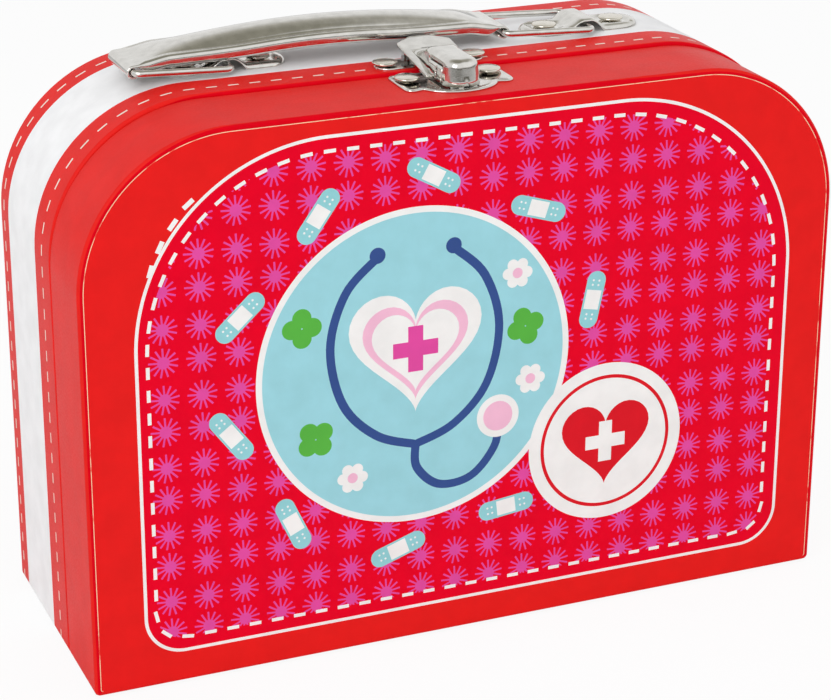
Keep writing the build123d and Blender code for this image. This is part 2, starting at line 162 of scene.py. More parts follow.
def mottle(tree, height, low, high, shader, socket="Base Color"):
    """Runs a socket between two colours, or two numbers, over the middle of the height's range."""
    middle_range = {"Value": height, "From Min": MOTTLED[0], "From Max": MOTTLED[1]}
    if isinstance(low, str):
        share = add_node(tree, "ShaderNodeMapRange", middle_range)
        colours = {0: share, 6: linear(low), 7: linear(high)}
        value = add_node(tree, "ShaderNodeMix", colours, data_type="RGBA").outputs[2]
    else:
        ends = {"To Min": low, "To Max": high}
        value = add_node(tree, "ShaderNodeMapRange", {**middle_range, **ends}).outputs[0]
    tree.links.new(value, shader.inputs[socket])


def bump(tree, shader, *heights):
    """Chains bumps: each height is (socket, depth in millimetres)."""
    normal = None
    for height, depth_mm in heights:
        inputs = {"Height": height, "Strength": 1.0, "Distance": depth_mm * MM}
        if normal:
            inputs["Normal"] = normal
        normal = add_node(tree, "ShaderNodeBump", inputs)
    tree.links.new(normal.outputs[0], shader.inputs["Normal"])


def darker(hex_colour, share):
    """The same hue with this share of its light taken away."""
    return "#" + "".join(f"{round(int(hex_colour[i : i + 2], 16) * (1 - share)):02X}" for i in (1, 3, 5))


print("helpers ready; a 10 % darker white is", darker("#FFFFFF", 0.1))

# %% [markdown]
# ## Printed and laminated paper
#
# The case is wrapped in offset printed paper under a thin matt film. The film gives a soft satin gloss of
# roughness about 0.35 and mirrors little. Under it the paper still shows a faint fibre grain, and the glue
# leaves slow waves a few centimetres long. One function makes every ink, so all of them share the same film
# and only the colour changes.

# %% Printed papers
# Real fibres are about a tenth as wide as these, and wouldn't show.
FIBRE, CLOUD, WAVE = 0.7, 9.0, 28.0  # widths of the paper's fibres, the ink's clouds and the glue's waves
FIBRE_DEPTH, WAVE_DEPTH = 0.012, 0.5


def printed_paper(name, ink, film_roughness=0.34):
    """Offset ink under satin film: a faint fibre grain, slow glue waves and slightly uneven ink."""
    material, tree, shader = new_material(name, {"IOR": 1.49, "Specular IOR Level": 0.05})
    fibre = grain(tree, FIBRE, detail=3.0)
    waves = grain(tree, WAVE, detail=1.0)
    cloud = grain(tree, CLOUD, detail=4.0)
    mottle(tree, cloud, darker(ink, 0.03), ink, shader)
    mottle(tree, fibre, film_roughness - 0.04, film_roughness + 0.05, shader, "Roughness")
    bump(tree, shader, (waves, WAVE_DEPTH), (fibre, FIBRE_DEPTH))
    return material


face_red = printed_paper("offset_print_orange_red", "#EB1F1E")
ground_crimson = printed_paper("offset_print_crimson", "#EC0026")
ink_white = printed_paper("offset_print_white", "#F6F5F3")
ink_thread = printed_paper("offset_print_thread_cream", "#F3E6DA")
star_pink = printed_paper("offset_print_orchid_pink", "#E54FA3")
sky_blue = printed_paper("offset_print_sky_blue", "#9FD8E2")
leaf_green = printed_paper("offset_print_green", "#5CB647")
aqua = printed_paper("offset_print_aqua", "#96D4DA")
ink_navy = printed_paper("offset_print_navy", "#3A5390")
blush_pink = printed_paper("offset_print_blush", "#F7BFD8")
badge_red = printed_paper("offset_print_signal_red", "#E01B28")
wrap_red = printed_paper("wrapping_paper_red", "#E8241F")
wrap_white = printed_paper("wrapping_paper_white", "#FAFAFB")
# Painted shade: a deeper red for the rounded edges of the wrapping, where the paper turns.
edge_shade_red = printed_paper("wrapping_paper_painted_edge_shade", "#E00018", film_roughness=0.42)
print("printed papers:", len(bpy.data.materials))

# %% [markdown]
# ## Bare paper and board
#
# Where a sheet was cut, its edge shows the bare stock: warm, matt and a little hairy. Grey board is pressed
# from waste paper, so it is flecked. The lining is uncoated paper, whose grain is easy to see and which
# hardly shines at all. Along the face sheets' edge the print is rubbed off, but for a few short stretches.

# %% Bare papers and board
RUBBED = (0.34, 0.44)  # where the ink gives way to the paper, low in the noise's range


def bare_stock(name, light, dark, grain_mm, roughness=0.9):
    """Uncoated paper or board: flecked colour, a matt surface and a fibre bump."""
    matt = {"IOR": 1.45, "Roughness": roughness, "Specular IOR Level": 0.3}
    material, tree, shader = new_material(name, matt)
    flecks = grain(tree, grain_mm, detail=5.0, stretch=(1, 1, 2.5))
    mottle(tree, flecks, dark, light, shader)
    bump(tree, shader, (flecks, 0.05))
    return material


def worn_print(name, paper, ink, gap_mm):
    """Print that is rubbed down to the paper along an edge, with short stretches that kept their ink."""
    matt = {"IOR": 1.45, "Roughness": 0.6, "Specular IOR Level": 0.1}
    material, tree, shader = new_material(name, matt)
    rubbed = grain(tree, gap_mm, detail=3.0)
    gone = {"Value": rubbed, "From Min": RUBBED[0], "From Max": RUBBED[1]}
    colours = {0: add_node(tree, "ShaderNodeMapRange", gone), 6: linear(ink), 7: linear(paper)}
    worn = add_node(tree, "ShaderNodeMix", colours, data_type="RGBA")
    tree.links.new(worn.outputs[2], shader.inputs["Base Color"])
    bump(tree, shader, (rubbed, 0.05))
    return material


cut_edge = bare_stock("cut_paper_edge", "#F6D9B4", "#E8B184", 0.8)
worn_edge = worn_print("worn_print_edge", "#F6D9B4", "#E8483A", 6.0)
grey_board = bare_stock("pressed_grey_board", "#A89C8B", "#857A6B", 0.6)
lining = bare_stock("uncoated_lining_paper", "#F1EEE8", "#E6E2DA", 1.2, roughness=0.82)
print("bare stock:", cut_edge.name, worn_edge.name, grey_board.name, lining.name)

# %% [markdown]
# ## Plated steel
#
# The hardware is thin mild steel, barrel plated in bright nickel. Nickel is a warm grey mirror, so metallic
# is 1 and roughness about 0.1. Tumbling in the barrel leaves a fine orange peel and hairline scratches, and
# these keep the reflections from looking like glass. The hidden washers and pins are zinc plated, which is
# bluer and more dull.

# %% Plated steels
# Real hairline scratches are finer than these, and wouldn't show.
PEEL, HAIRLINE = 3.5, 0.35  # widths of the orange peel's dimples and of the scratches
SCRATCH_DEPTH = 0.0012


def plated_steel(name, light, dark, bright, dull, peel_mm):
    """Bright plating over stamped sheet: slow orange peel and hairline scratches."""
    material, tree, shader = new_material(name, {"Metallic": 1.0})
    peel = grain(tree, PEEL, detail=2.0)
    hairline = grain(tree, HAIRLINE, detail=3.0, stretch=(0.12, 1, 1))
    mottle(tree, peel, dark, light, shader)
    mottle(tree, hairline, bright, dull, shader, "Roughness")
    bump(tree, shader, (peel, peel_mm), (hairline, SCRATCH_DEPTH))
    return material


nickel = plated_steel("bright_nickel_plate", "#DEDCD7", "#D2D0CB", 0.07, 0.16, 0.02)
rivet_nickel = plated_steel("tumbled_nickel_rivet", "#E2DDD2", "#D6D0C4", 0.1, 0.2, 0.03)
zinc = plated_steel("zinc_plate", "#BFC3C7", "#A9ADB2", 0.28, 0.42, 0.02)
print("plated steels:", nickel.name, rivet_nickel.name, zinc.name)

# %% [markdown]
# ## From numbers to pieces
#
# Pieces are worked out in millimetres and made into meshes in metres by one function, which also puts them
# on their body and lets them stand for the CAD node that they dress. The rest here changes a finished mesh:
# its faces, its thickness and the side that they look to.

# %% Functions that make a piece
def new_object(name, data):
    """An object of this data in the scene."""
    item = bpy.data.objects.new(name, data)
    bpy.context.scene.collection.objects.link(item)
    return item


def mesh_of(name, points, faces=(), smooth=True):
    """A mesh from millimetre points."""
    mesh = bpy.data.meshes.new(name)
    mesh.from_pydata([Vector(p) * MM for p in points], [], faces)
    mesh.polygons.foreach_set("use_smooth", [smooth] * len(mesh.polygons))
    return mesh


def make_piece(name, body, slot, node, points, faces, materials, indices=None, smooth=True):
    """A dressed piece from millimetre points. indices gives each face's material."""
    mesh = mesh_of(name, points, faces, smooth)
    for material in materials:
        mesh.materials.append(material)
    if indices:
        mesh.polygons.foreach_set("material_index", indices)
    mesh.update()
    piece = new_object(name, mesh)
    dress(piece, body, slot, node)
    return piece


def dress(piece, body, slot, *nodes):
    """The piece rides on its body and stands for these CAD nodes, which are hidden; slot is not used."""
    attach(piece, body)
    if nodes and nodes[0]:
        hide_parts(*nodes)


def edit(piece, change):
    """Opens the piece's mesh, lets change(bm) work on it and closes it."""
    bm = bmesh.new()
    bm.from_mesh(piece.data)
    change(bm)
    bm.to_mesh(piece.data)
    bm.free()
    piece.data.update()


def weld(bm, distance_mm):
    """Joins the points that lie this close together and drops the faces that this closes up."""
    bmesh.ops.remove_doubles(bm, verts=bm.verts, dist=distance_mm * MM)
    bmesh.ops.dissolve_degenerate(bm, edges=bm.edges, dist=distance_mm * MM)


def face_outward(bm):
    """Turns all the faces to look outward."""
    bmesh.ops.recalc_face_normals(bm, faces=bm.faces)


def wall_off(bm):
    """Extrudes the open rim. Returns the new points, the walls and the new rim."""
    rim = [edge for edge in bm.edges if edge.is_boundary]
    grown = bmesh.ops.extrude_edge_only(bm, edges=rim)["geom"]
    kinds = (bmesh.types.BMVert, bmesh.types.BMFace, bmesh.types.BMEdge)
    points, walls, edges = ([item for item in grown if isinstance(item, kind)] for kind in kinds)
    return points, walls, [edge for edge in edges if edge.is_boundary]


def solidify(piece, thickness_mm):
    """Gives a surface its thickness, away from the side that its faces look to."""
    wall = piece.modifiers.new("thickness", "SOLIDIFY")
    wall.thickness = thickness_mm * MM
    wall.offset = -1.0
    wall.use_even_offset = False


print("ready to make pieces")

# %% [markdown]
# ## The printed front
#
# The print is flat, so it is drawn in the plane of the face: x to the right and z up from the bottom of the
# case. Geometry Nodes print what repeats. The first tree makes one starburst, a ring of vertices pulled
# into rays by their number, and sets it on a grid whose odd rows sit a little lower. The second tree
# lays dashes along a line, as a printed sewing stitch does.

# %% Geometry Nodes helpers
def new_tree(name, sizes):
    """A Geometry Nodes tree with geometry in and out and one input per size, and its input sockets."""
    tree = bpy.data.node_groups.new(name, "GeometryNodeTree")
    tree.is_modifier = True
    for in_out in ("INPUT", "OUTPUT"):
        tree.interface.new_socket("Geometry", in_out=in_out, socket_type="NodeSocketGeometry")
    for size, value in sizes.items():
        kind = {int: "NodeSocketInt", float: "NodeSocketFloat"}.get(type(value), "NodeSocketObject")
        tree.interface.new_socket(size, in_out="INPUT", socket_type=kind)
    return tree, tree.nodes.new("NodeGroupInput").outputs


def end_tree(tree, geometry, material):
    """Ends a tree in real geometry with a material."""
    real = add_node(tree, "GeometryNodeRealizeInstances", {"Geometry": geometry})
    painted = add_node(tree, "GeometryNodeSetMaterial", {"Geometry": real, "Material": material})
    add_node(tree, "NodeGroupOutput", {"Geometry": painted})


def run_tree(tree, source, sizes):
    """Runs the tree on an object and returns the result as a plain mesh; the source is deleted."""
    modifier = source.modifiers.new(tree.name, "NODES")
    modifier.node_group = tree
    for item in tree.interface.items_tree:
        if item.in_out == "INPUT" and item.name in sizes:
            modifier[item.identifier] = sizes[item.name]
    graph = bpy.context.evaluated_depsgraph_get()
    mesh = bpy.data.meshes.new_from_object(source.evaluated_get(graph))
    source.modifiers.remove(modifier)
    bpy.data.objects.remove(source)
    return mesh


def line_object(points, closed):
    """A poly curve through points of the plane, for a tree to follow."""
    curve = bpy.data.curves.new("path", "CURVE")
    curve.dimensions = "3D"
    spline = curve.splines.new("POLY")
    spline.points.add(len(points) - 1)
    for knot, (x, y) in zip(spline.points, points):
        knot.co = (x, y, 0, 1)
    spline.use_cyclic_u = closed
    return new_object("path", curve)


def shapes_of(mesh):
    """The mesh's faces as lists of (x, y), and the mesh deleted."""
    shapes = [[tuple(mesh.vertices[i].co[:2]) for i in face.vertices] for face in mesh.polygons]
    bpy.data.meshes.remove(mesh)
    return shapes


print("tree helpers ready")

# %% A tree that prints starbursts
STAR_SIZES = {
    "Columns": 18,
    "Rows": 14,
    "Column Pitch": 11.78,
    "Row Pitch": 11.15,
    "Odd Row Drop": 0.7,
    "Rays": 13,
    "Ray Length": 4.7,
    "Ray Width": 0.6,
    "Core Radius": 1.9,
}
STAR_TURN = math.radians(9.5)  # the first ray's angle


def starburst_tree():
    """One starburst, a ring whose corners are pulled into rays, set on a grid whose odd rows sit lower."""
    tree, size = new_tree("starburst_print", STAR_SIZES)
    corners = add_node(tree, "ShaderNodeMath", {0: size["Rays"], 1: 4.0}, operation="MULTIPLY")
    ring = add_node(tree, "GeometryNodeMeshCircle", {"Vertices": corners}, fill_type="NGON")
    number = add_node(tree, "GeometryNodeInputIndex")
    quarter = add_node(tree, "ShaderNodeMath", {0: number, 1: 4.0}, operation="DIVIDE")
    ray = add_node(tree, "ShaderNodeMath", {0: quarter}, operation="FLOOR")
    corner = add_node(tree, "ShaderNodeMath", {0: number, 1: 4.0}, operation="MODULO")
    # Corners 0 and 3 of a ray are at the core, 1 and 2 at its tip. 0 and 1 are on one side of it.
    is_tip = add_node(tree, "ShaderNodeMath", {0: corner, 1: 1.5, 2: 0.6}, operation="COMPARE")
    reaches = {"Value": is_tip, "To Min": size["Core Radius"], "To Max": size["Ray Length"]}
    reach = add_node(tree, "ShaderNodeMapRange", reaches)
    side = add_node(tree, "ShaderNodeMath", {0: corner, 1: 1.5}, operation="GREATER_THAN")
    across = add_node(tree, "ShaderNodeMath", {0: side, 1: 0.5}, operation="SUBTRACT")
    offset = add_node(tree, "ShaderNodeMath", {0: across, 1: size["Ray Width"]}, operation="MULTIPLY")
    straight = add_node(tree, "ShaderNodeCombineXYZ", {"X": reach, "Y": offset})
    turn = add_node(tree, "ShaderNodeMath", {0: math.tau, 1: size["Rays"]}, operation="DIVIDE")
    angle = add_node(tree, "ShaderNodeMath", {0: ray, 1: turn, 2: STAR_TURN}, operation="MULTIPLY_ADD")
    bearing = {"Vector": straight, "Angle": angle}
    turned = add_node(tree, "ShaderNodeVectorRotate", bearing, rotation_type="Z_AXIS")
    star = add_node(tree, "GeometryNodeSetPosition", {"Geometry": ring, "Position": turned})

    spans = {}
    for axis, count, pitch in (("X", "Columns", "Column Pitch"), ("Y", "Rows", "Row Pitch")):
        gaps = add_node(tree, "ShaderNodeMath", {0: size[count], 1: 1.0}, operation="SUBTRACT")
        span = add_node(tree, "ShaderNodeMath", {0: gaps, 1: size[pitch]}, operation="MULTIPLY")
        spans[f"Size {axis}"], spans[f"Vertices {axis}"] = span, size[count]
    grid = add_node(tree, "GeometryNodeMeshGrid", spans)
    row = add_node(tree, "ShaderNodeMath", {0: number, 1: size["Rows"]}, operation="MODULO")
    odd = add_node(tree, "ShaderNodeMath", {0: row, 1: 2.0}, operation="MODULO")
    drop = add_node(tree, "ShaderNodeMath", {0: odd, 1: size["Odd Row Drop"]}, operation="MULTIPLY")
    lowered = add_node(tree, "ShaderNodeMath", {0: drop, 1: -1.0}, operation="MULTIPLY")
    shift = add_node(tree, "ShaderNodeCombineXYZ", {"Y": lowered})
    places = add_node(tree, "GeometryNodeSetPosition", {"Geometry": grid, "Offset": shift})
    stars = add_node(tree, "GeometryNodeInstanceOnPoints", {"Points": places, "Instance": star})
    end_tree(tree, stars, star_pink)
    return tree


def starbursts(centre):
    """All the starbursts as shapes, with the grid's middle at centre."""
    blank = new_object("blank", bpy.data.meshes.new("blank"))
    shapes = shapes_of(run_tree(starburst_tree(), blank, STAR_SIZES))
    return [[(x + centre[0], z + centre[1]) for x, z in shape] for shape in shapes]


star_shapes = starbursts(centre=(0.1, 89.9))
print(len(star_shapes), "starbursts of", len(star_shapes[0]), "corners")

# %% A tree that prints stitches
STITCH_SIZES = {"Pitch": 7.3, "Dash Length": 3.8, "Dash Width": 1.15}


def stitch_tree():
    """A dash at each step along a curve, turned with it."""
    tree, size = new_tree("stitch_print", STITCH_SIZES)
    curve = size["Geometry"]
    length = add_node(tree, "GeometryNodeCurveLength", {"Curve": curve})
    fit = add_node(tree, "ShaderNodeMath", {0: length, 1: size["Pitch"]}, operation="DIVIDE")
    count = add_node(tree, "ShaderNodeMath", {0: fit}, operation="ROUND")
    steps = add_node(tree, "GeometryNodeResampleCurve", {"Curve": curve, "Count": count}, mode="COUNT")
    spans = {"Size X": size["Dash Length"], "Size Y": size["Dash Width"], "Vertices X": 2, "Vertices Y": 2}
    dash = add_node(tree, "GeometryNodeMeshGrid", spans)
    along = add_node(tree, "GeometryNodeInputTangent")
    turn = add_node(tree, "FunctionNodeAlignRotationToVector", {"Vector": along}, axis="X")
    dashes = {"Points": steps, "Instance": dash, "Rotation": turn}
    end_tree(tree, add_node(tree, "GeometryNodeInstanceOnPoints", dashes), ink_white)
    return tree


stitching = stitch_tree()


def stitches(points, closed, **sizes):
    """Dashes along a line of the plane, as shapes."""
    return shapes_of(run_tree(stitching, line_object(points, closed), {**STITCH_SIZES, **sizes}))


print("a metre of stitching has", len(stitches([(0, 0), (1000, 0)], False)), "dashes")

# %% [markdown]
# Curved outlines come from two small functions: an arc, and a rectangle with rounded corners whose top and
# bottom corners differ. Both return the corners of a polygon, anticlockwise.

# %% Outlines for the print
def arc(centre, radius, start, end, step_mm=1.0):
    """Points on an arc, from one angle in degrees to another."""
    steps = max(2, round(abs(math.radians(end - start)) * radius / step_mm))
    angles = [math.radians(start + (end - start) * i / steps) for i in range(steps + 1)]
    return [(centre[0] + radius * math.cos(a), centre[1] + radius * math.sin(a)) for a in angles]


def disc(centre, radius, step_mm=1.0):
    """The corners of a circle."""
    return arc(centre, radius, 0, 360, step_mm)[:-1]


def arch(left, right, low, high, top_radius, low_radius, step_mm=1.0):
    """A rectangle whose top and bottom corners have their own radius."""
    corners = (
        ((left + low_radius, low + low_radius), low_radius, 180),
        ((right - low_radius, low + low_radius), low_radius, 270),
        ((right - top_radius, high - top_radius), top_radius, 0),
        ((left + top_radius, high - top_radius), top_radius, 90),
    )
    points = []
    for centre, radius, start in corners:
        points += arc(centre, radius, start, start + 90, step_mm)
    return points


def moved(shape, x, z, turn=0.0, scale=1.0):
    """The shape scaled and turned about its origin, then moved."""
    c = math.cos(math.radians(turn)) * scale
    s = math.sin(math.radians(turn)) * scale
    return [(x + c * px - s * pz, z + s * px + c * pz) for px, pz in shape]


def band(points, width, closed=False):
    """A line thickened to a polygon with round ends, or to an outer and an inner loop if it is closed."""
    left, right = [], []
    for i, (x, z) in enumerate(points):
        before = points[i - 1] if i or closed else points[0]
        after = points[(i + 1) % len(points)] if i + 1 < len(points) or closed else points[-1]
        dx, dz = after[0] - before[0], after[1] - before[1]
        size = math.hypot(dx, dz)
        nx, nz = -dz / size * width / 2, dx / size * width / 2
        left.append((x + nx, z + nz))
        right.append((x - nx, z - nz))
    if closed:
        return right, left
    facing = [math.degrees(math.atan2(b[1] - a[1], b[0] - a[0])) for a, b in (points[:2], points[-2:])]
    tail = arc(points[0], width / 2, facing[0] + 90, facing[0] + 270, width / 6)
    nose = arc(points[-1], width / 2, facing[1] - 90, facing[1] + 90, width / 6)
    return right + nose[1:-1] + left[::-1] + tail[1:-1]


print("the case's outline has", len(arch(-125, 125, 0, 178, CORNER, FOOT_CORNER)), "points")

# %% [markdown]
# ## One sheet from many shapes
#
# A printed picture is a stack of shapes, and the top one is seen. A constrained Delaunay triangulation takes
# every outline at once and returns triangles that no outline crosses, with the shapes that each lies in. The
# triangle then takes the ink of its topmost shape. The sheet stays one flat, closed mesh, the edges of the
# print are sharp at any distance, and nothing needs an image.

# %% The print map
def print_map(layers, lines=()):
    """Cuts a sheet along all its shapes. A layer is (material, shapes, number of the layer that clips it).

    The first layer is the sheet itself. Lines only add edges. Returns the points, the triangles and the
    material of each triangle.
    """
    points, edges, faces, layer_of_face = [], [], [], []
    for number, (_, shapes, _) in enumerate(layers):
        for shape in shapes:
            first = len(points)
            points += [Vector(p) for p in shape]
            faces.append(list(range(first, len(points))))
            layer_of_face.append(number)
    for start, end in lines:
        edges.append((len(points), len(points) + 1))
        points += [Vector(start), Vector(end)]
    points, _, triangles, _, _, origins = delaunay_2d_cdt(points, edges, faces, 1, 1e-4)
    inks = []
    for origin in origins:
        present = {layer_of_face[face] for face in origin}
        seen = [n for n in present if layers[n][2] is None or layers[n][2] in present]
        inks.append(layers[max(seen, default=0)][0])
    return points, triangles, inks


def sheet_piece(name, body, slot, node, layers, y, facing):
    """A flat printed sheet in the plane at y, closed behind by its own thickness."""
    points, triangles, inks = print_map(layers)
    materials = list(dict.fromkeys(inks)) + [cut_edge, lining]
    if facing > 0:
        triangles = [face[::-1] for face in triangles]
    solid = [(p.x, y, case_bottom + p.y) for p in points]
    indices = [materials.index(ink) for ink in inks]
    piece = make_piece(name, body, slot, node, solid, triangles, materials, indices, smooth=False)

    def close(bm):
        behind, walls, rim = wall_off(bm)
        bmesh.ops.translate(bm, verts=behind, vec=(0, -facing * PAPER * MM, 0))
        for face in walls:
            face.material_index = materials.index(cut_edge)
        for face in bmesh.ops.contextual_create(bm, geom=rim)["faces"]:
            face.material_index = materials.index(lining)
        face_outward(bm)

    edit(piece, close)
    print(name, len(piece.data.polygons), "faces in", len(materials), "inks")


print("print map ready")

# %% [markdown]
# The picture is a plain play-doctor one: a sky blue medallion with a heart and a stethoscope, a ring of
# sticking plasters and a white badge. Every motif is a formula or a few arcs about its own origin, which is
# then moved, turned and scaled to its place.

# %% Motifs
def heart(width):
    """The usual heart curve, with its point down."""
    points = []
    for i in range(60):
        t = math.tau * i / 60
        rise = 13 * math.cos(t) - 5 * math.cos(2 * t) - 2 * math.cos(3 * t) - math.cos(4 * t)
        points.append((-16 * math.sin(t) ** 3 * width / 32, (rise + 2.5) * width / 32))
    return points


def plus(size, bar):
    """A plus sign, anticlockwise from its right arm."""
    a, b = size / 2, bar / 2
    quarter = [(a, -b), (a, b), (b, b)]
    return [moved([p], 0, 0, 90 * turn)[0] for turn in range(4) for p in quarter]


def flowing(knots, steps=8):
    """A smooth line through its knots, by the Catmull-Rom formula."""
    padded = [knots[0], *knots, knots[-1]]
    line = []
    for a, b, c, d in zip(padded, padded[1:], padded[2:], padded[3:]):
        for i in range(steps):
            t = i / steps
            weights = (
                -t * (1 - t) ** 2 / 2,
                (2 - 5 * t**2 + 3 * t**3) / 2,
                t * (1 + 4 * t - 3 * t**2) / 2,
                -(t**2) * (1 - t) / 2,
            )
            line.append(tuple(sum(w * k[axis] for w, k in zip(weights, (a, b, c, d))) for axis in (0, 1)))
    return line + [knots[-1]]


def flower(radius, petals, petal_radius):
    """Round petals about the origin, as separate discs."""
    places = [math.tau * i / petals for i in range(petals)]
    return [disc((radius * math.cos(a), radius * math.sin(a)), petal_radius, 0.8) for a in places]


def plaster(length, width):
    """A sticking plaster's outline, with its pad and its air holes."""
    a, b = length / 2, width / 2
    outline = arch(-a, a, -b, b, b * 0.98, b * 0.98, 0.5)
    pad = [(-b, -b * 0.8), (b, -b * 0.8), (b, b * 0.8), (-b, b * 0.8)]
    places = [(side * (b + out), row) for side in (-1, 1) for out in (1.7, 3.2) for row in (-1, 1)]
    return outline, pad, [disc(place, 0.38, 0.4) for place in places]


print("a heart has", len(heart(40)), "points")

# %% The picture
MEDALLION = (-19.5, 93.0)
MEDALLION_RADIUS = 50.0
BADGE = (46.5, 57.0)
BADGE_RADIUS = 27.0
PLASTER_RING = 61.5
PLASTERS = 10
PLASTER_SIZE = (19.0, 6.4)
PLASTER_TILT = 24  # each is turned this far off the ring, to alternate sides
CHEST_PIECE = (28, -21)
CLOVERS = ((-33, -19, 40), (37, 8, 20), (-37, 18, 0))  # x and z from the medallion's middle, and turn
DAISIES = ((34, 26), (-21, -34), (39, -10))


def picture():
    """The picture's layers from bottom to top, as (material, shapes)."""

    def here(shape, x=0.0, z=0.0, turn=0.0, scale=1.0):
        return moved(shape, MEDALLION[0] + x, MEDALLION[1] + z, turn, scale)

    outlines, pads, holes = [], [], []
    for i in range(PLASTERS):
        angle = 360 * (i + 0.35) / PLASTERS
        at = (PLASTER_RING * math.cos(math.radians(angle)), PLASTER_RING * math.sin(math.radians(angle)))
        outline, pad, dots = plaster(*PLASTER_SIZE)
        tilt = angle + 90 + (PLASTER_TILT if i % 2 else -PLASTER_TILT)
        outlines.append(here(outline, *at, tilt))
        pads.append(here(pad, *at, tilt))
        holes += [here(dot, *at, tilt) for dot in dots]

    left_tube = [(-13, 37), (-23, 27), (-28, 10), (-24, -9), (-13, -21), (0, -26)]
    right_tube = [(-x, z) for x, z in left_tube]
    drop_tube = [(0, -26), (0.5, -34), (8, -41), (19, -40), (27, -31), (28, -22)]
    tubes = [here(band(flowing(tube), 2.8)) for tube in (left_tube, right_tube, drop_tube)]
    ear_pieces = [here(disc((side * 12.5, 38), 2.6, 0.6)) for side in (-1, 1)]
    clovers = [here(petal, x, z, turn) for x, z, turn in CLOVERS for petal in flower(3.3, 4, 3.1)]
    daisies = [here(petal, x, z) for x, z in DAISIES for petal in flower(3.2, 6, 1.9)]
    daisy_middles = [here(disc(place, 1.7, 0.6)) for place in DAISIES]
    return [
        (aqua, outlines),
        (ink_white, pads + holes),
        (ink_white, [disc(MEDALLION, MEDALLION_RADIUS + 2.0)]),
        (sky_blue, [disc(MEDALLION, MEDALLION_RADIUS)]),
        (leaf_green, clovers),
        (ink_white, daisies),
        (blush_pink, daisy_middles),
        (ink_navy, tubes + ear_pieces),
        (ink_white, [here(heart(44), 0, 5), here(disc(CHEST_PIECE, 7.2))]),
        (blush_pink, [here(heart(35), 0, 5), here(disc(CHEST_PIECE, 5.0))]),
        (ink_white, [here(heart(29), 0, 5)]),
        (star_pink, [here(plus(15, 5), 0, 6)]),
        (ink_white, [disc(BADGE, BADGE_RADIUS)]),
        (badge_red, [disc(BADGE, 22.9)]),
        (ink_white, [disc(BADGE, 21.7)]),
        (badge_red, [moved(heart(31), BADGE[0], BADGE[1] - 1)]),
        (ink_white, [moved(plus(14, 4.6), *BADGE)]),
    ]


print("the picture has", len(picture()), "layers")

# %% [markdown]
# The rest of the print frames the picture: orange red paper, a crimson panel inside a fine white line, a row
# of printed stitches just inside that, and the starbursts, which stop at the stitches. Four stitches of a row
# under the panel peep out at one corner, where the two drawings don't quite meet. The cut edge of the sheet
# is worn pale, but for the foot.

# %% The face sheets
PANEL = (-108.3, 110.4, 10.6, 170.3, 61.0, 12.5)  # left, right, low, high, top radius, low radius
STITCH_LINE = (-104.9, 105.4, 15.1, 165.8, 57.5, 8.5)
STRAY_PLACES = ((-90.9, 155.0, 39), (-95.75, 149.3, 52), (-99.9, 142.85, 63), (-103.0, 135.8, 73))
STRAY = 1.95, 0.75  # half the length and half the width of such a stitch
LINE_WIDTH = 1.05
RAW_EDGE = 0.22  # width of the worn rim
SHEET_FOOT_CORNER = 0.6


def face_layers(height, pictured):
    """The layers of a face sheet for a half of this height."""

    def sheet_outline(rim):
        """The sheet inside a worn rim, which the foot doesn't have."""
        inset = SHEET_INSET + rim
        side = half_width - inset
        return [arch(-side, side, SHEET_INSET, height - inset, CORNER - inset, SHEET_FOOT_CORNER)]

    white_outside, white_inside = band(arch(*PANEL), LINE_WIDTH, closed=True)
    stray = [(-STRAY[0], -STRAY[1]), (STRAY[0], -STRAY[1]), STRAY, (-STRAY[0], STRAY[1])]
    layers = [
        (worn_edge, sheet_outline(0), None),
        (face_red, sheet_outline(RAW_EDGE), None),
        (ink_white, [moved(stray, *place) for place in STRAY_PLACES], None),
        (ink_white, [white_outside], None),
        (ground_crimson, [white_inside], None),
        (ground_crimson, [arch(*STITCH_LINE)], None),
        (star_pink, star_shapes, 5),
        (ink_white, stitches(arch(*STITCH_LINE), True), None),
    ]
    if pictured:
        layers += [(ink, shapes, None) for ink, shapes in picture()]
    return layers


lid_layers = face_layers(lid_deck - case_bottom, True)
sheet_piece("printed_front_sheet", "case_lid", "print_paper", "lid_front_sheet", lid_layers, front_y, -1)
base_layers = face_layers(deck - case_bottom, False)
sheet_piece("printed_back_sheet", "case_base", "red_paper", "base_back_sheet", base_layers, back_y, 1)

# %% [markdown]
# ## The wrapping
#
# Each half is wrapped in one long strip of paper. It is drawn unrolled, with s along the case's outline and
# v across the strip: from under the face sheet, round the front edge, along the wall, over the seam edge and
# down the inside. The same triangulation cuts it along its stripes and stitches, and along the lines where
# the paper has to bend. Then every point is rolled onto the case.

# %% Rolling paper round the case
def ease(share):
    """The smooth step from 0 to 1, which eases in and out."""
    share = max(0.0, min(1.0, share))
    return share * share * (3 - 2 * share)


CORNER_STEPS, FOOT_STEPS = 28, 6


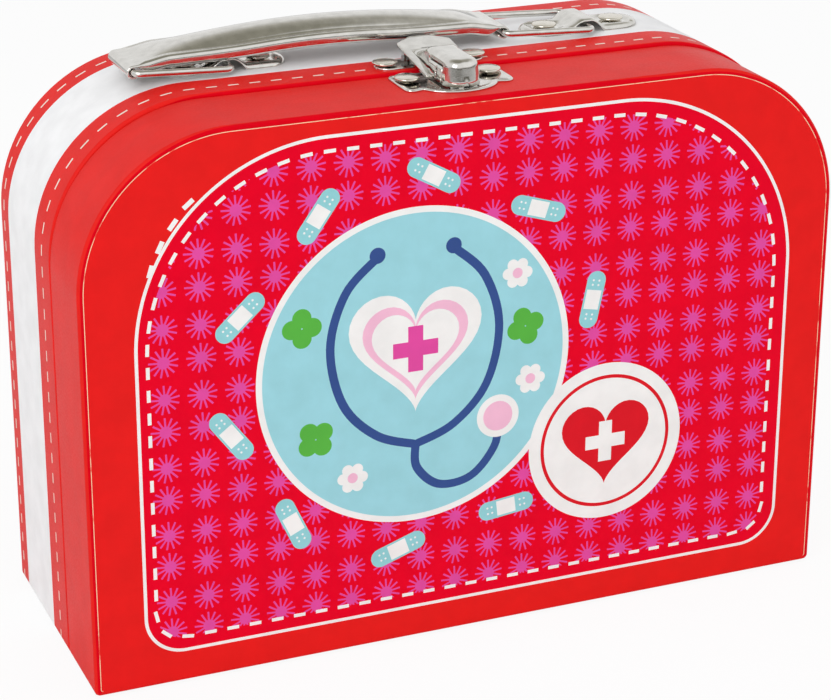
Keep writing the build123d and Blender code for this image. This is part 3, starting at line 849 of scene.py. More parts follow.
class Outline:
    """The outline of one half, as runs of line and arc from the middle of the bottom, anticlockwise."""

    def __init__(self, top):
        side = top - case_bottom - CORNER - FOOT_CORNER
        half = [(half_width - FOOT_CORNER, None), (FOOT_CORNER * math.pi / 2, FOOT_CORNER)]
        half += [(side, None), (CORNER * math.pi / 2, CORNER)]
        self.runs = half + [(2 * (half_width - CORNER), None)] + half[::-1]
        self.length = sum(length for length, _ in self.runs)

    def bends(self):
        """The places along the outline where the paper has to bend, close together on the arcs."""
        places, start = [], 0.0
        for length, radius in self.runs:
            if radius:
                steps = CORNER_STEPS if radius == CORNER else FOOT_STEPS
                places += [start + length * i / steps for i in range(steps + 1)]
            start += length
        return places

    def at(self, s):
        """Point (x, z) and outward direction at the distance s along the outline."""
        x, z, heading = 0.0, case_bottom, 0.0
        for length, radius in self.runs:
            step = min(s, length)
            if radius:
                turn = step / radius
                x += radius * (math.sin(heading + turn) - math.sin(heading))
                z -= radius * (math.cos(heading + turn) - math.cos(heading))
                heading += turn
            else:
                x += step * math.cos(heading)
                z += step * math.sin(heading)
            s -= step
            if s <= 1e-9:
                break
        return x, z, math.sin(heading), -math.cos(heading)

    def place(self, s, inset):
        """The point at s, moved in from the outline and kept inside the mitre of the bottom corners."""
        x, z, nx, nz = self.at(s)
        x -= nx * inset
        z -= nz * inset
        limit = half_width - inset
        return max(-limit, min(limit, x)), max(case_bottom + inset, z)


UNDER_SHEET = 3.5  # how far the strip reaches under the face sheet
INNER_ROUND = 0.4
INSIDE = 9.5  # how far it reaches down the inside


class Strip:
    """The cross-section of the wrapping, as (inset, distance from the closed face) along v."""

    def __init__(self, depth):
        r, q = EDGE_ROUND, INNER_ROUND
        quarter = [math.radians(90 * i / 5) for i in range(6)]
        line = [(UNDER_SHEET, PAPER_STEP)]
        line += [(r - r * math.sin(a), PAPER_STEP + r - r * math.cos(a)) for a in quarter]
        line += [(r - r * math.cos(a), depth - r + r * math.sin(a)) for a in quarter]
        line += [(WALL - q + q * math.sin(a), depth - q + q * math.cos(a)) for a in quarter]
        line += [(WALL, depth - INSIDE)]
        self.line = line
        self.marks = [0.0]
        for (a, b), (c, d) in zip(line, line[1:]):
            self.marks.append(self.marks[-1] + math.hypot(c - a, d - b))
        self.width = self.marks[-1]
        self.face_round, self.seam_round, self.inner_round = (self.marks[i : i + 6] for i in (1, 7, 13))
        self.wall_start = self.face_round[-1]

    def at(self, v):
        """(inset, distance from the closed face) at v."""
        for i, end in enumerate(self.marks[1:]):
            if v <= end + 1e-6:
                share = (v - self.marks[i]) / (end - self.marks[i])
                (a, b), (c, d) = self.line[i], self.line[i + 1]
                return a + share * (c - a), b + share * (d - b)
        return self.line[-1]

    def v_of_depth(self, depth):
        """v on the wall's outside, this far from the closed face."""
        return self.wall_start + depth - PAPER_STEP - EDGE_ROUND


print("base outline:", round(Outline(deck).length), "mm round")

# %% [markdown]
# The base has a broad white band between two stitched red stripes, as if a strap were sewn round it. The
# lid's rim is plain red. Where the paper rounds an edge, a deeper red is painted there as its shade, and
# broader along one stretch of the top. Under the case the edge keeps the face's own red. The stripes are
# named by their distance from the closed face.

# %% The wrapped walls
WHITE_BAND = (11.0, 43.0)
STITCH_ROWS = (5.5, 51.2)
WALL_STITCH = {"Pitch": 6.8, "Dash Length": 3.4, "Dash Width": 0.9}
DRIFT = (-0.9, 2.7)  # how far the print lies towards the seam on the sides and on top
SLIP = 4.1  # how far it has slid round the corner on top
# The painted edge shade: where it is broader on top, and the run over which it widens.
SHADED_EDGE_BASE = (-150, 115)  # the stretch where the painted edge shade is broader, measured leftwards along the top
SHADED_EDGE_LID = (-80, 110)
EDGE_SHADE_FADE = 50
SLIDING = (65, 165)  # from the middle of the top: where the slid stretch starts to fade, and where it ends
PRINT_STEPS = 90


def wrapped_wall(name, body, node, top, face, seam, shaded_stretch, bands=(), rows=()):
    """One half's wrapping, from its closed face at y = face to the seam."""
    outline, strip = Outline(top), Strip(abs(seam - face))
    length, width, half = outline.length, strip.width, outline.length / 2
    places = [length * i / PRINT_STEPS for i in range(PRINT_STEPS + 1)]

    def patch(start, end, v):
        """A rectangle at the closed face, across the strip to v."""
        return [(start, 0), (end, 0), (end, v), (start, v)]

    def drifted(s, v):
        """The strip was laid on by hand, so its print wanders."""
        on_top = ease((SLIDING[1] - abs(s - half)) / (SLIDING[1] - SLIDING[0]))
        return s - SLIP * on_top, v + DRIFT[0] + (DRIFT[1] - DRIFT[0]) * on_top

    def creased(near, far):
        """An edge of the painted edge shade as (s, v): at near on the sides and at far in the broader
        stretch.
        """
        right, left = half + shaded_stretch[0], half + shaded_stretch[1]
        shares = [ease((s - right) / EDGE_SHADE_FADE) * ease((left - s) / EDGE_SHADE_FADE) for s in places]
        return [(s, near + (far - near) * share) for s, share in zip(places, shares)]

    foot = half_width - FOOT_CORNER
    layers = [
        (wrap_red, [patch(0, length, width)], None),
        # Painted shade on the rounding at the closed face, in a deeper red.
        (edge_shade_red, [[(0, 0), (length, 0)] + creased(strip.face_round[1], strip.face_round[4])[::-1]], None),
        (face_red, [patch(0, foot, strip.wall_start)], None),
        (face_red, [patch(length - foot, length, strip.wall_start)], None),
    ]
    if bands:
        # Painted shade on the rounding over the seam edge, in a deeper red.
        rim, inner_end = creased(strip.inner_round[0], strip.seam_round[1] + 0.2), strip.inner_round[-1]
        layers.append((edge_shade_red, [rim + [(length, inner_end), (0, inner_end)]], None))
    for near, far in bands:
        near_edge = [drifted(s, strip.v_of_depth(near)) for s in places]
        far_edge = [drifted(s, strip.v_of_depth(far)) for s in places[::-1]]
        layers.append((wrap_white, [near_edge + far_edge], None))
    for row in rows:
        v = strip.v_of_depth(row)
        inset = WALL_STITCH["Pitch"] / 2
        dashes = stitches([(inset, v), (length - inset, v)], False, **WALL_STITCH)
        layers.append((ink_thread, [[drifted(*corner) for corner in dash] for dash in dashes], None))
    across = [((s, 0), (s, width)) for s in outline.bends()]
    along = [((0, v), (length, v)) for v in strip.marks[1:-1]]
    points, triangles, inks = print_map(layers, across + along)

    inward = 1 if seam > face else -1
    solid = []
    for s, v in points:
        inset, depth = strip.at(v)
        x, z = outline.place(s, inset)
        solid.append((x, face + inward * depth, z))
    if inward < 0:
        triangles = [triangle[::-1] for triangle in triangles]
    materials = list(dict.fromkeys(inks))
    indices = [materials.index(ink) for ink in inks]
    piece = make_piece(name, body, "red_paper", node, solid, triangles, materials, indices)

    edit(piece, lambda bm: weld(bm, 0.001))
    solidify(piece, PAPER)
    piece.modifiers.new("flat walls", "WEIGHTED_NORMAL")
    print(name, len(piece.data.polygons), "faces")


base_print = (SHADED_EDGE_BASE, [WHITE_BAND], STITCH_ROWS)
wrapped_wall("base_wrapping", "case_base", "base_wall_paper", deck, back_y, seam_y, *base_print)
wrapped_wall("lid_wrapping", "case_lid", "lid_wall_paper", lid_deck, front_y, lid_seam_y, SHADED_EDGE_LID)

# %% [markdown]
# ## The steel hardware
#
# The rivets are the split-free kind with a flat, coin-like head. One is turned as a profile about its own
# axis, and a Geometry Nodes tree sets it on every rivet place, each with its own turn about its shank so
# that the tumbling marks differ.

# %% Rivets
def lathe(profile, steps=40):
    """Points and faces of a body turned about Z. The profile runs from the top pole to the bottom one."""
    points = [(0, 0, profile[0][1])]
    for radius, height in profile[1:-1]:
        angles = [math.tau * i / steps for i in range(steps)]
        points += [(radius * math.cos(a), radius * math.sin(a), height) for a in angles]
    points.append((0, 0, profile[-1][1]))
    faces = [(0, 1 + i, 1 + (i + 1) % steps) for i in range(steps)]
    for ring in range(len(profile) - 3):
        here, below = 1 + ring * steps, 1 + (ring + 1) * steps
        corners = ((i, (i + 1) % steps) for i in range(steps))
        faces += [(here + i, below + i, below + k, here + k) for i, k in corners]
    last, end = 1 + (len(profile) - 3) * steps, len(points) - 1
    faces += [(end, last + (i + 1) % steps, last + i) for i in range(steps)]
    return points, faces


def rivet_profile(head, height, shank, reach, tail, tail_height):
    """A flat head with a round rim, seated at 0, over its shank and the tail set inside the case."""
    rim = height * 0.3
    rim_centre = (head / 2 - rim, height * 0.86 - rim)
    return [
        (0, height),
        (head * 0.25, height * 0.98),
        *arc(rim_centre, rim, 80, -80, 0.12),
        (head * 0.32, height * 0.12),
        (shank / 2, 0),
        (shank / 2, tail_height - reach),
        (tail / 2, tail_height - reach),
        (tail / 2 - 0.4, -reach),
        (0, -reach),
    ]


RIVET_SIZES = {"Rivet": None, "Seed": 5}


def rivet_tree():
    """A rivet on every point, each with its own turn about its shank."""
    tree, size = new_tree("rivet_rows", RIVET_SIZES)
    rivet = add_node(tree, "GeometryNodeObjectInfo", {"Object": size["Rivet"]}).outputs["Geometry"]
    turn = add_node(tree, "FunctionNodeRandomValue", {"Seed": size["Seed"]}, data_type="FLOAT_VECTOR")
    turn.inputs["Max"].default_value = (0, 0, math.tau)
    rows = {"Points": size["Geometry"], "Instance": rivet, "Rotation": turn.outputs["Value"]}
    end_tree(tree, add_node(tree, "GeometryNodeInstanceOnPoints", rows), rivet_nickel)
    return tree


riveting = rivet_tree()


def rivet_row(name, body, node, places, seat, sizes, down):
    """Rivets on their places, as one piece that stands for a CAD node."""
    points, faces = lathe(rivet_profile(*sizes))
    if down:
        points = [(x, -y, -z) for x, y, z in points]
    one = new_object("rivet", mesh_of("rivet", points, faces))
    marks = new_object("places", mesh_of("places", [(x, y, seat) for x, y in places]))
    result = run_tree(riveting, marks, {**RIVET_SIZES, "Rivet": one})
    bpy.data.objects.remove(one)
    result.name = name
    dress(new_object(name, result), body, "plated_steel", node)


def middle(*nodes):
    """The middle of each CAD node."""
    return [sum(box_mm(node), Vector()) / 2 for node in nodes]


HEAD, HEAD_HEIGHT = 8.0, 1.4
RIVET = (HEAD, HEAD_HEIGHT, 3.0, 5.0, 1.0)  # head and its height, shank, tail and its height
HINGE_RIVET = (6.0, 0.7, 2.5, 4.0, 0.8)
bracket_mids = middle("handle_bracket_left", "handle_bracket_right")
hinge_mids = middle("hinge_base_leaf_left", "hinge_base_leaf_right")
for node, body, mids, (head, head_height, shank, tail, tail_height), down in (
    ("handle_rivets", "case_base", bracket_mids, RIVET, False),
    ("latch_base_rivets", "case_base", [Vector()], RIVET, False),
    ("latch_lid_rivets", "case_lid", [Vector()], RIVET, False),
    ("hinge_base_rivets", "case_base", hinge_mids, HINGE_RIVET, True),
    ("hinge_lid_rivets", "case_lid", hinge_mids, HINGE_RIVET, True),
):
    low, high = box_mm(node)
    offset = high.x - head / 2 - mids[-1].x
    places = [(mid.x + side * offset, (low.y + high.y) / 2) for mid in mids for side in (-1, 1)]
    seat = low.z + head_height if down else high.z - head_height
    reach = high.z - seat if down else seat - low.z
    sizes = (head, head_height, shank, reach, tail, tail_height)
    rivet_row(f"{node}_set", body, node, places, seat, sizes, down)
print("rivets set")

# %% [markdown]
# The plates are stamped from 0.8 mm sheet. A press leaves a rolled rim, a dish round each rivet and, on the
# handle's brackets, a hump that the ring turns under. Each plate is drawn as its outline, and a function
# gives the height of the sheet at every point. Loops close to the outline carry the rim's curve, so the
# light runs cleanly along it, and a grid of points carries the rest.

# %% Stamped plates
RIM_SHARES = (0.04, 0.15, 0.33, 0.6, 1.0)  # the loops, as shares of the rim's radius from the outline
OUTLINE_STEP = 0.45


def even(outline, step):
    """The closed outline again, with points at most this far apart."""
    points = []
    for (ax, ay), (bx, by) in zip(outline, outline[1:] + outline[:1]):
        parts = math.ceil(math.hypot(bx - ax, by - ay) / step - 1e-6)
        points += [(ax + (bx - ax) * i / parts, ay + (by - ay) * i / parts) for i in range(parts)]
    return points


def rounded(corners, radius, step_mm=0.3):
    """A polygon with its corners rounded; radius is one for all or one for each."""
    radii = radius if isinstance(radius, (list, tuple)) else [radius] * len(corners)
    points = []
    for i, (x, y) in enumerate(corners):
        before, after = Vector(corners[i - 1]), Vector(corners[(i + 1) % len(corners)])
        here = Vector((x, y))
        back, on = (before - here).normalized(), (after - here).normalized()
        half = back.angle(on) / 2
        if radii[i] < 0.01 or half > math.radians(88):
            points.append((x, y))
            continue
        centre = here + (back + on).normalized() * radii[i] / math.sin(half)
        start = math.degrees(math.atan2(*(here + back * radii[i] / math.tan(half) - centre).yx))
        turn = 180 - math.degrees(2 * half)
        if back.x * on.y - back.y * on.x > 0:
            turn = -turn
        points += arc(centre, radii[i], start, start + turn, step_mm)
    return points


def drawn_in(outline, amount):
    """The outline moved inwards along the bisector at each of its points."""
    points = []
    for i, here in enumerate(outline):
        (ax, ay), (bx, by) = outline[i - 1], outline[(i + 1) % len(outline)]
        size = math.hypot(bx - ax, by - ay)
        points.append((here[0] - (by - ay) / size * amount, here[1] + (bx - ax) / size * amount))
    return points


def distance_to(outline, x, y):
    """The distance from a point to the closest edge of the outline."""
    nearest = math.inf
    for (ax, ay), (bx, by) in zip(outline, outline[1:] + outline[:1]):
        dx, dy = bx - ax, by - ay
        along = max(0.0, min(1.0, ((x - ax) * dx + (y - ay) * dy) / (dx * dx + dy * dy)))
        nearest = min(nearest, math.hypot(x - ax - along * dx, y - ay - along * dy))
    return nearest


def inside(outline, x, y):
    """Whether the point is within the outline, by counting the edges to its right."""
    crossings = 0
    for (ax, ay), (bx, by) in zip(outline, outline[1:] + outline[:1]):
        if (ay > y) != (by > y) and x < ax + (y - ay) / (by - ay) * (bx - ax):
            crossings += 1
    return crossings % 2 == 1


def stamped(node, body, outline, rim, height, foot, grid, hollow=0.0, turned=lambda x, y: 1.0):
    """A plate of this outline, anticlockwise, whose sheet is at height(x, y) and ends at foot(x, y).

    The rim is turned down by its radius where turned(x, y) is 1. A hollow plate is a sheet that thick.
    """
    outline = even(outline, OUTLINE_STEP)
    loops = [(outline, 0.0)] + [(drawn_in(outline, rim * share), share) for share in RIM_SHARES]
    flat = [Vector(p) for loop, _ in loops for p in loop]
    depth = [share for loop, share in loops for _ in loop]
    xs, ys = [p[0] for p in outline], [p[1] for p in outline]
    for i in range(1, int((max(xs) - min(xs)) / grid) + 1):
        for j in range(1, int((max(ys) - min(ys)) / grid) + 1):
            x, y = min(xs) + i * grid, min(ys) + j * grid
            if distance_to(outline, x, y) > rim + 0.6 * grid and inside(outline, x, y):
                flat.append(Vector((x, y)))
                depth.append(1.0)
    flat, _, triangles, sources, _, _ = delaunay_2d_cdt(flat, [], [list(range(len(outline)))], 1, 1e-5)
    solid = []
    for p, source in zip(flat, sources):
        share = depth[source[0]] if source else 1.0
        drop = rim * (1 - math.sqrt(max(0.0, 1 - (1 - share) ** 2)))
        solid.append((p.x, p.y, height(p.x, p.y) - drop * turned(p.x, p.y)))
    piece = make_piece(f"{node}_stamping", body, "plated_steel", node, solid, triangles, [nickel])

    def turn_down(bm):
        lower, _, rim_edges = wall_off(bm)
        for vertex in lower:
            vertex.co.z = foot(vertex.co.x / MM, vertex.co.y / MM) * MM
        if not hollow:
            bmesh.ops.contextual_create(bm, geom=rim_edges)
        face_outward(bm)
        for face in bm.faces:
            face.smooth = len(face.verts) < 5

    edit(piece, turn_down)
    if hollow:
        solidify(piece, hollow)
    return piece


print("ready to stamp plates")

# %% The handle's brackets
HUMP_FOOT = 6.9  # from the ring's bar to the foot of the hump
HUMP_TOP = 1.3  # half of the hump's flat top
HUMP_PROUD = 0.35  # the sheet is thinned over the hump, so its top stands this much higher
BRACKET_RIM = 1.9
BRACKET_CREST = 2.1  # the rim's crest above the paper
BRACKET_SHEET = 0.5
SEAT = 1.4  # the sheet under the rivet heads, above the paper
DISH = (4.2, 5.8)  # from the rivet, where the dish starts to rise and where it ends
LEAST_RIM = 0.4  # share of the rim that is left over the hump


def handle_bracket(node, mid):
    """A humped bracket: a plate with round ends, dished round its rivets and hollow below."""
    low, high = box_mm(node)
    end_radius = (high.y - low.y) / 2
    plate = deck + BRACKET_CREST
    rivet_x = box_mm("handle_rivets")[1].x - HEAD / 2 - bracket_mids[-1].x

    def hump(x):
        return ease((HUMP_FOOT - abs(x - mid.x)) / (HUMP_FOOT - HUMP_TOP))

    def height(x, y):
        from_rivet = math.hypot(max(0.0, rivet_x - abs(x - mid.x)) * 0.8, y - mid.y)
        from_rivet = max(from_rivet, abs(x - mid.x) - rivet_x)
        dish = (BRACKET_CREST - SEAT) * (1 - ease((from_rivet - DISH[0]) / (DISH[1] - DISH[0])))
        return plate + (high.z + HUMP_PROUD - plate) * hump(x) - dish * (1 - hump(x))

    def turned(x, _):
        return LEAST_RIM + (1 - LEAST_RIM) * ease((abs(x - mid.x) - 3.5) / 3.5)

    def foot(x, y):
        under = height(x, y) - BRACKET_RIM * turned(x, y) - 0.1
        return under + (deck + 0.05 - under) * ease((abs(x - mid.x) - 4.5) / 2.5)

    outline = arch(low.x, high.x, low.y, high.y, end_radius, end_radius, 0.45)
    return stamped(node, "case_base", outline, BRACKET_RIM, height, foot, 0.55, BRACKET_SHEET, turned)


for side, mid in zip(("left", "right"), bracket_mids):
    print(handle_bracket(f"handle_bracket_{side}", mid).name)

# %% [markdown]
# The latch's two plates are flatter, with only a small rim. The lid's is scalloped to a nose and dished a
# little, and has the lip that the clip passes over. The base's has two round lugs for the rivets and two
# ears that hold the lever's pin. The lip and the ears are small square tabs, so they are plain boxes.

# %% The latch's plates
PLATE_RIM = 0.45
PLATE_GAP = 0.02  # between a plate and the paper
LID_PLATE_DISH = 0.3
NOSE_START = (12.2, 16.7)  # half the width there, and the distance from the plate's rear edge
NOSE_ELLIPSE = (12.9, 6.7)  # its half-width, and how far the nose reaches out
NOSE_SHARE = 0.675  # of the ellipse's height that the nose takes up
CHEEK = (0.6, 18.2, 14.3)  # the corners beside the nose: how far in, and the distances from the rear edge
LIP = (4.4, 20.6, 0.4)  # half its width, the distance from the seam, half its thickness
LUG_RADIUS = 4.5
BASE_BODY = 9.8  # half the width of the body between the lugs
EARS = (6.9, 7.7, 1.4)  # inner and outer face, and half the length
BOX_FACES = ((0, 1, 3, 2), (4, 6, 7, 5), (0, 4, 5, 1), (2, 3, 7, 6), (0, 2, 6, 4), (1, 5, 7, 3))


def add_boxes(piece, boxes):
    """Adds small boxes to a piece, each from its lowest to its highest corner in millimetres."""

    def grow(bm):
        for low, high in boxes:
            corners = [bm.verts.new(Vector(p) * MM) for p in product(*zip(low, high))]
            for face in BOX_FACES:
                bm.faces.new([corners[i] for i in face])

    edit(piece, grow)


def both_sides(inner, outer, y, z):
    """A box between these distances from the middle plane, and its mirror image. y and z are spans."""
    spans = (sorted((side * inner, side * outer)) for side in (-1, 1))
    return [((x[0], y[0], z[0]), (x[1], y[1], z[1])) for x in spans]


def lid_plate():
    """The scalloped plate on the lid, a little dished, with the lip that the clip passes over."""
    width, rear, top = box_mm("latch_lid_plate")[1]
    half, start = NOSE_START

    def ellipse(x):
        return math.sqrt(1 - (x / NOSE_ELLIPSE[0]) ** 2)

    nose = []
    for i in range(25):
        x = -half + 2 * half * i / 24
        nose.append((x, rear - start - NOSE_ELLIPSE[1] * (ellipse(x) - ellipse(half)) / NOSE_SHARE))
    side = [(width - CHEEK[0], rear - CHEEK[1]), (width, rear - CHEEK[2]), (width, rear)]
    corners = nose + side + [(-x, y) for x, y in side[::-1]]
    outline = rounded(corners, [0.0] * len(nose) + [2.6, 2.4, 2.6] * 2)

    def height(x, y):
        dish = LID_PLATE_DISH * ease((distance_to(outline, x, y) - 0.6) / 2.6)
        return lid_deck + SHEET_METAL + LID_PLATE_DISH / 2 - dish

    rim = (PLATE_RIM, height, lambda x, y: lid_deck + PLATE_GAP)
    piece = stamped("latch_lid_plate", "case_lid", outline, *rim, grid=0.7)
    lip_y = seam_y - LIP[1]
    add_boxes(piece, [((-LIP[0], lip_y - LIP[2], lid_deck), (LIP[0], lip_y + LIP[2], top))])
    return piece


def base_plate():
    """The plate on the base: two round lugs on a wider body, with ears for the lever's pin."""
    low, high = box_mm("latch_base_plate")
    row = low.y + LUG_RADIUS
    lug_x, body, front = high.x - LUG_RADIUS, BASE_BODY, row + LUG_RADIUS
    outline = arc((lug_x, row), LUG_RADIUS, -90, 90, 0.4)
    outline += [(body, front), (body, high.y), (-body, high.y), (-body, front)]
    outline += arc((-lug_x, row), LUG_RADIUS, 90, 270, 0.4)
    rim = (PLATE_RIM, lambda x, y: deck + SHEET_METAL, lambda x, y: deck + PLATE_GAP)
    piece = stamped("latch_base_plate", "case_base", outline, *rim, grid=0.9)
    add_boxes(piece, both_sides(*EARS[:2], (row - EARS[2], row + EARS[2]), (deck + 0.3, high.z)))
    return piece


print(lid_plate().name, base_plate().name)

# %% [markdown]
# The rings are bent from 2.2 mm wire. The wire is a circle carried round the ring's rounded rectangle.

# %% Wire rings
WIRE = 1.1  # radius
RING_CORNER = 2.4


def swept(sections, closed_path=False, closed_section=True):
    """Points and faces of a skin that joins the sections, each a list of points, one after the other."""
    points = [p for section in sections for p in section]
    size, count = len(sections[0]), len(sections)
    faces = []
    for i in range(count if closed_path else count - 1):
        here, there = i * size, (i + 1) % count * size
        for j in range(size if closed_section else size - 1):
            k = (j + 1) % size
            faces.append((here + j, here + k, there + k, there + j))
    return points, faces


def wire_ring(side):
    """A ring from its bar under the bracket's hump to its bar in the grip, leaning up a little."""
    node = f"handle_ring_{side}"
    low, high = box_mm(node)
    hump_bar = Vector((high.x - WIRE, 0, low.z + WIRE))
    grip_bar = Vector((low.x + WIRE, 0, high.z - WIRE))
    along = (grip_bar - hump_bar).normalized()
    across = Vector((0, 1, 0))
    up = along.cross(across)
    length = (grip_bar - hump_bar).length
    path = arch(0, length, low.y + WIRE, high.y - WIRE, RING_CORNER, RING_CORNER, 0.5)
    turns = [math.tau * k / 20 for k in range(20)]
    sections = []
    for i, (u, v) in enumerate(path):
        before, after = path[i - 1], path[(i + 1) % len(path)]
        out = Vector((after[1] - before[1], before[0] - after[0])).normalized()
        outward = along * out.x + across * out.y
        centre = hump_bar + along * u + across * v
        sections.append([centre + (outward * math.cos(t) + up * math.sin(t)) * WIRE for t in turns])
    points, faces = swept(sections, closed_path=True)
    piece = make_piece(f"{node}_wire", f"{side}_ring", "plated_steel", node, points, faces, [nickel])
    edit(piece, face_outward)
    return piece


for side in ("left", "right"):
    print(wire_ring(side).name)

# %% [markdown]
# The grip is one blank of sheet steel. Its middle is pressed into a domed channel with the long edges rolled
# into beads, which makes it stiff and soft to hold. Its ends stay flat and are curled round the ring bars. So
# it is swept from one section that changes: a flat strip in the curls, and the channel from there on.

# %% The grip
GRIP_SECTION = 5.5  # crown down to the middle of the beads
GRIP_BEAD = 1.5
BEAD_WALL = 1.2  # straight drop in the middle of a bead
GRIP_CROWN = 9.4  # crown above the ring bars
GRIP_ARCH = 300.0
CURL = 2.15  # outer radius of the curls
CURL_TURN = 250.0
CURL_STEPS = 18
ARCH_STEPS = 60
FLAT_END = 1.2  # flat strip before the beads start
SETTLE = 12.0  # length over which the arch comes down to the curl
DOME_RUN = 40.0  # length over which the dome rises
BEAD_RUN = 3.0  # length over which the beads start
DOME_FULLNESS = 0.9


def dome(u):
    """How far the sheet has come down at u, from 0 on the crown to 1 at the bead."""
    return (1 - math.sqrt(1 - (DOME_FULLNESS * u) ** 2)) / (1 - math.sqrt(1 - DOME_FULLNESS**2))


def grip_section(half_grip, depth, bead, rolled):
    """The closed section as (y, z) from its crown: flat at depth 0, a channel with beads at full depth."""
    centre = (half_grip - bead, -bead - depth)
    drop = BEAD_WALL / 2 * rolled
    over = [math.radians((90 + 30 * rolled) * (1 - i / 7)) for i in range(8)]
    below = [math.radians((-90 - 95 * rolled) * i / 9) for i in range(10)]
    rear = [(centre[0] + bead * math.cos(t), centre[1] + drop + bead * math.sin(t)) for t in over]
    rear += [(centre[0] + bead * math.cos(t), centre[1] - drop + bead * math.sin(t)) for t in below]
    front = [(-y, z) for y, z in rear[::-1]]
    outer_end, inner_end = rear[0], rear[-1]
    across = [i / 12 for i in range(-11, 12)]
    outer = [(outer_end[0] * u, outer_end[1] * dome(abs(u))) for u in across]
    rise = inner_end[1] + SHEET_METAL
    under = [(inner_end[0] * u, rise * dome(abs(u)) - SHEET_METAL) for u in across[::-1]]
    return outer + rear + under + front


def grip_stations():
    """(place, direction, dome share, bead share) from the left curl to the right one."""
    low, high = box_mm("handle_grip")
    reach = (high.x - low.x) / 2 - CURL
    bar_z = box_mm("handle_ring_left")[1].z - WIRE
    crown = bar_z + GRIP_CROWN
    settle = reach - SETTLE

    def crown_height(distance):
        arch_height = crown - distance**2 / (2 * GRIP_ARCH)
        if distance < settle:
            return arch_height
        share = (distance - settle) / SETTLE
        start, slope = crown - settle**2 / (2 * GRIP_ARCH), -settle / GRIP_ARCH * SETTLE
        return start + (bar_z + CURL - start) * ease(share) + slope * (share - 2 * share**2 + share**3)

    half = []
    for i in range(CURL_STEPS + 1):
        angle = math.radians(90 + CURL_TURN * (CURL_STEPS - i) / CURL_STEPS)
        place = Vector((-reach + CURL * math.cos(angle), 0, bar_z + CURL * math.sin(angle)))
        half.append((place, Vector((math.sin(angle), 0, -math.cos(angle))), 0.0, 0.0))
    for i in range(1, ARCH_STEPS + 1):
        distance = reach * (1 - i / ARCH_STEPS)
        from_curl = reach - distance
        slope = (crown_height(distance - 0.01) - crown_height(distance + 0.01)) / 0.02
        domed = math.sin(math.pi / 2 * max(0.0, min(1.0, (from_curl - FLAT_END) / DOME_RUN)))
        beaded = ease((from_curl - FLAT_END) / BEAD_RUN)
        place = Vector((-distance, 0, crown_height(distance)))
        half.append((place, Vector((1, 0, slope)).normalized(), domed, beaded))
    for place, direction, domed, beaded in half[-2::-1]:
        mirrored = (Vector((-place.x, 0, place.z)), Vector((direction.x, 0, -direction.z)))
        half.append((*mirrored, domed, beaded))
    middle_xy = Vector(((low.x + high.x) / 2, (low.y + high.y) / 2, 0))
    return [(place + middle_xy, *rest) for place, *rest in half], (high.y - low.y) / 2


def grip():
    """The whole grip, closed at its two cut ends."""
    stations, half_grip = grip_stations()
    across = Vector((0, 1, 0))
    sections = []
    for place, direction, domed, beaded in stations:
        bead = SHEET_METAL / 2 + (GRIP_BEAD - SHEET_METAL / 2) * beaded
        up = direction.cross(across)
        outline = grip_section(half_grip, (GRIP_SECTION - GRIP_BEAD) * domed, bead, beaded)
        sections.append([place + across * y + up * z for y, z in outline])
    points, faces = swept(sections)
    size = len(sections[0])
    faces += [tuple(range(size)), tuple(range(len(points) - 1, len(points) - 1 - size, -1))]
    node = "handle_grip"
    piece = make_piece(f"{node}_pressing", "grip", "plated_steel", node, points, faces, [nickel])
    edit(piece, face_outward)
    print(piece.name, "has", len(stations), "stations")


grip()

# %% [markdown]
# The press lever is one stamping too. Its thumb flap is folded up at the rear, two wings run forwards, and
# between them a hood is raised over the spring clip. The hood's sides reach down to the plate in front,
# where a slit parts them from the round nose and the crown, and a small hole shows the clip.

# %% The latch lever
FLAP_HALF = 9.0
FLAP_TAIL = 3.2
WING = 2.7
HOOD_HALF = 6.0
HOOD_NOSE = 5.0  # plan radius of the nose's corners
HOOD_FILLET = 2.6
HOOD_TOP = 8.3  # above the base's paper
HOOD_FOOT = 0.25
HOOD_RISE = (-9.5, -19.5)  # y where the hood leaves the flap and where it is full height
HOOD_TAPER = 0.7  # how far its walls lean in
HOOD_SIDES = -20.5  # in front of this its sides reach down to the plate
HOOD_SLIT = (-31.2, -31.5)  # parts its sides from the nose
HOOD_PEEPHOLE = (-26.6, -27.8)
HOOD_LEVELS = (0.0, 0.3, 0.6, 0.92, 1.0)  # shares of the straight wall's height, between its rows of faces
NOTCH = 1.1
FLAP_LOW, FLAP_RISE = 1.6, 4.6  # the flap's sheet above the paper at the front, and its rise to the rear
WING_REACH = 13.0  # from the seam to the front of the wings
TAIL_CORNER = 4.0
PIN_EARS = (7.9, 8.7, 1.1)  # inner and outer face, and half the length


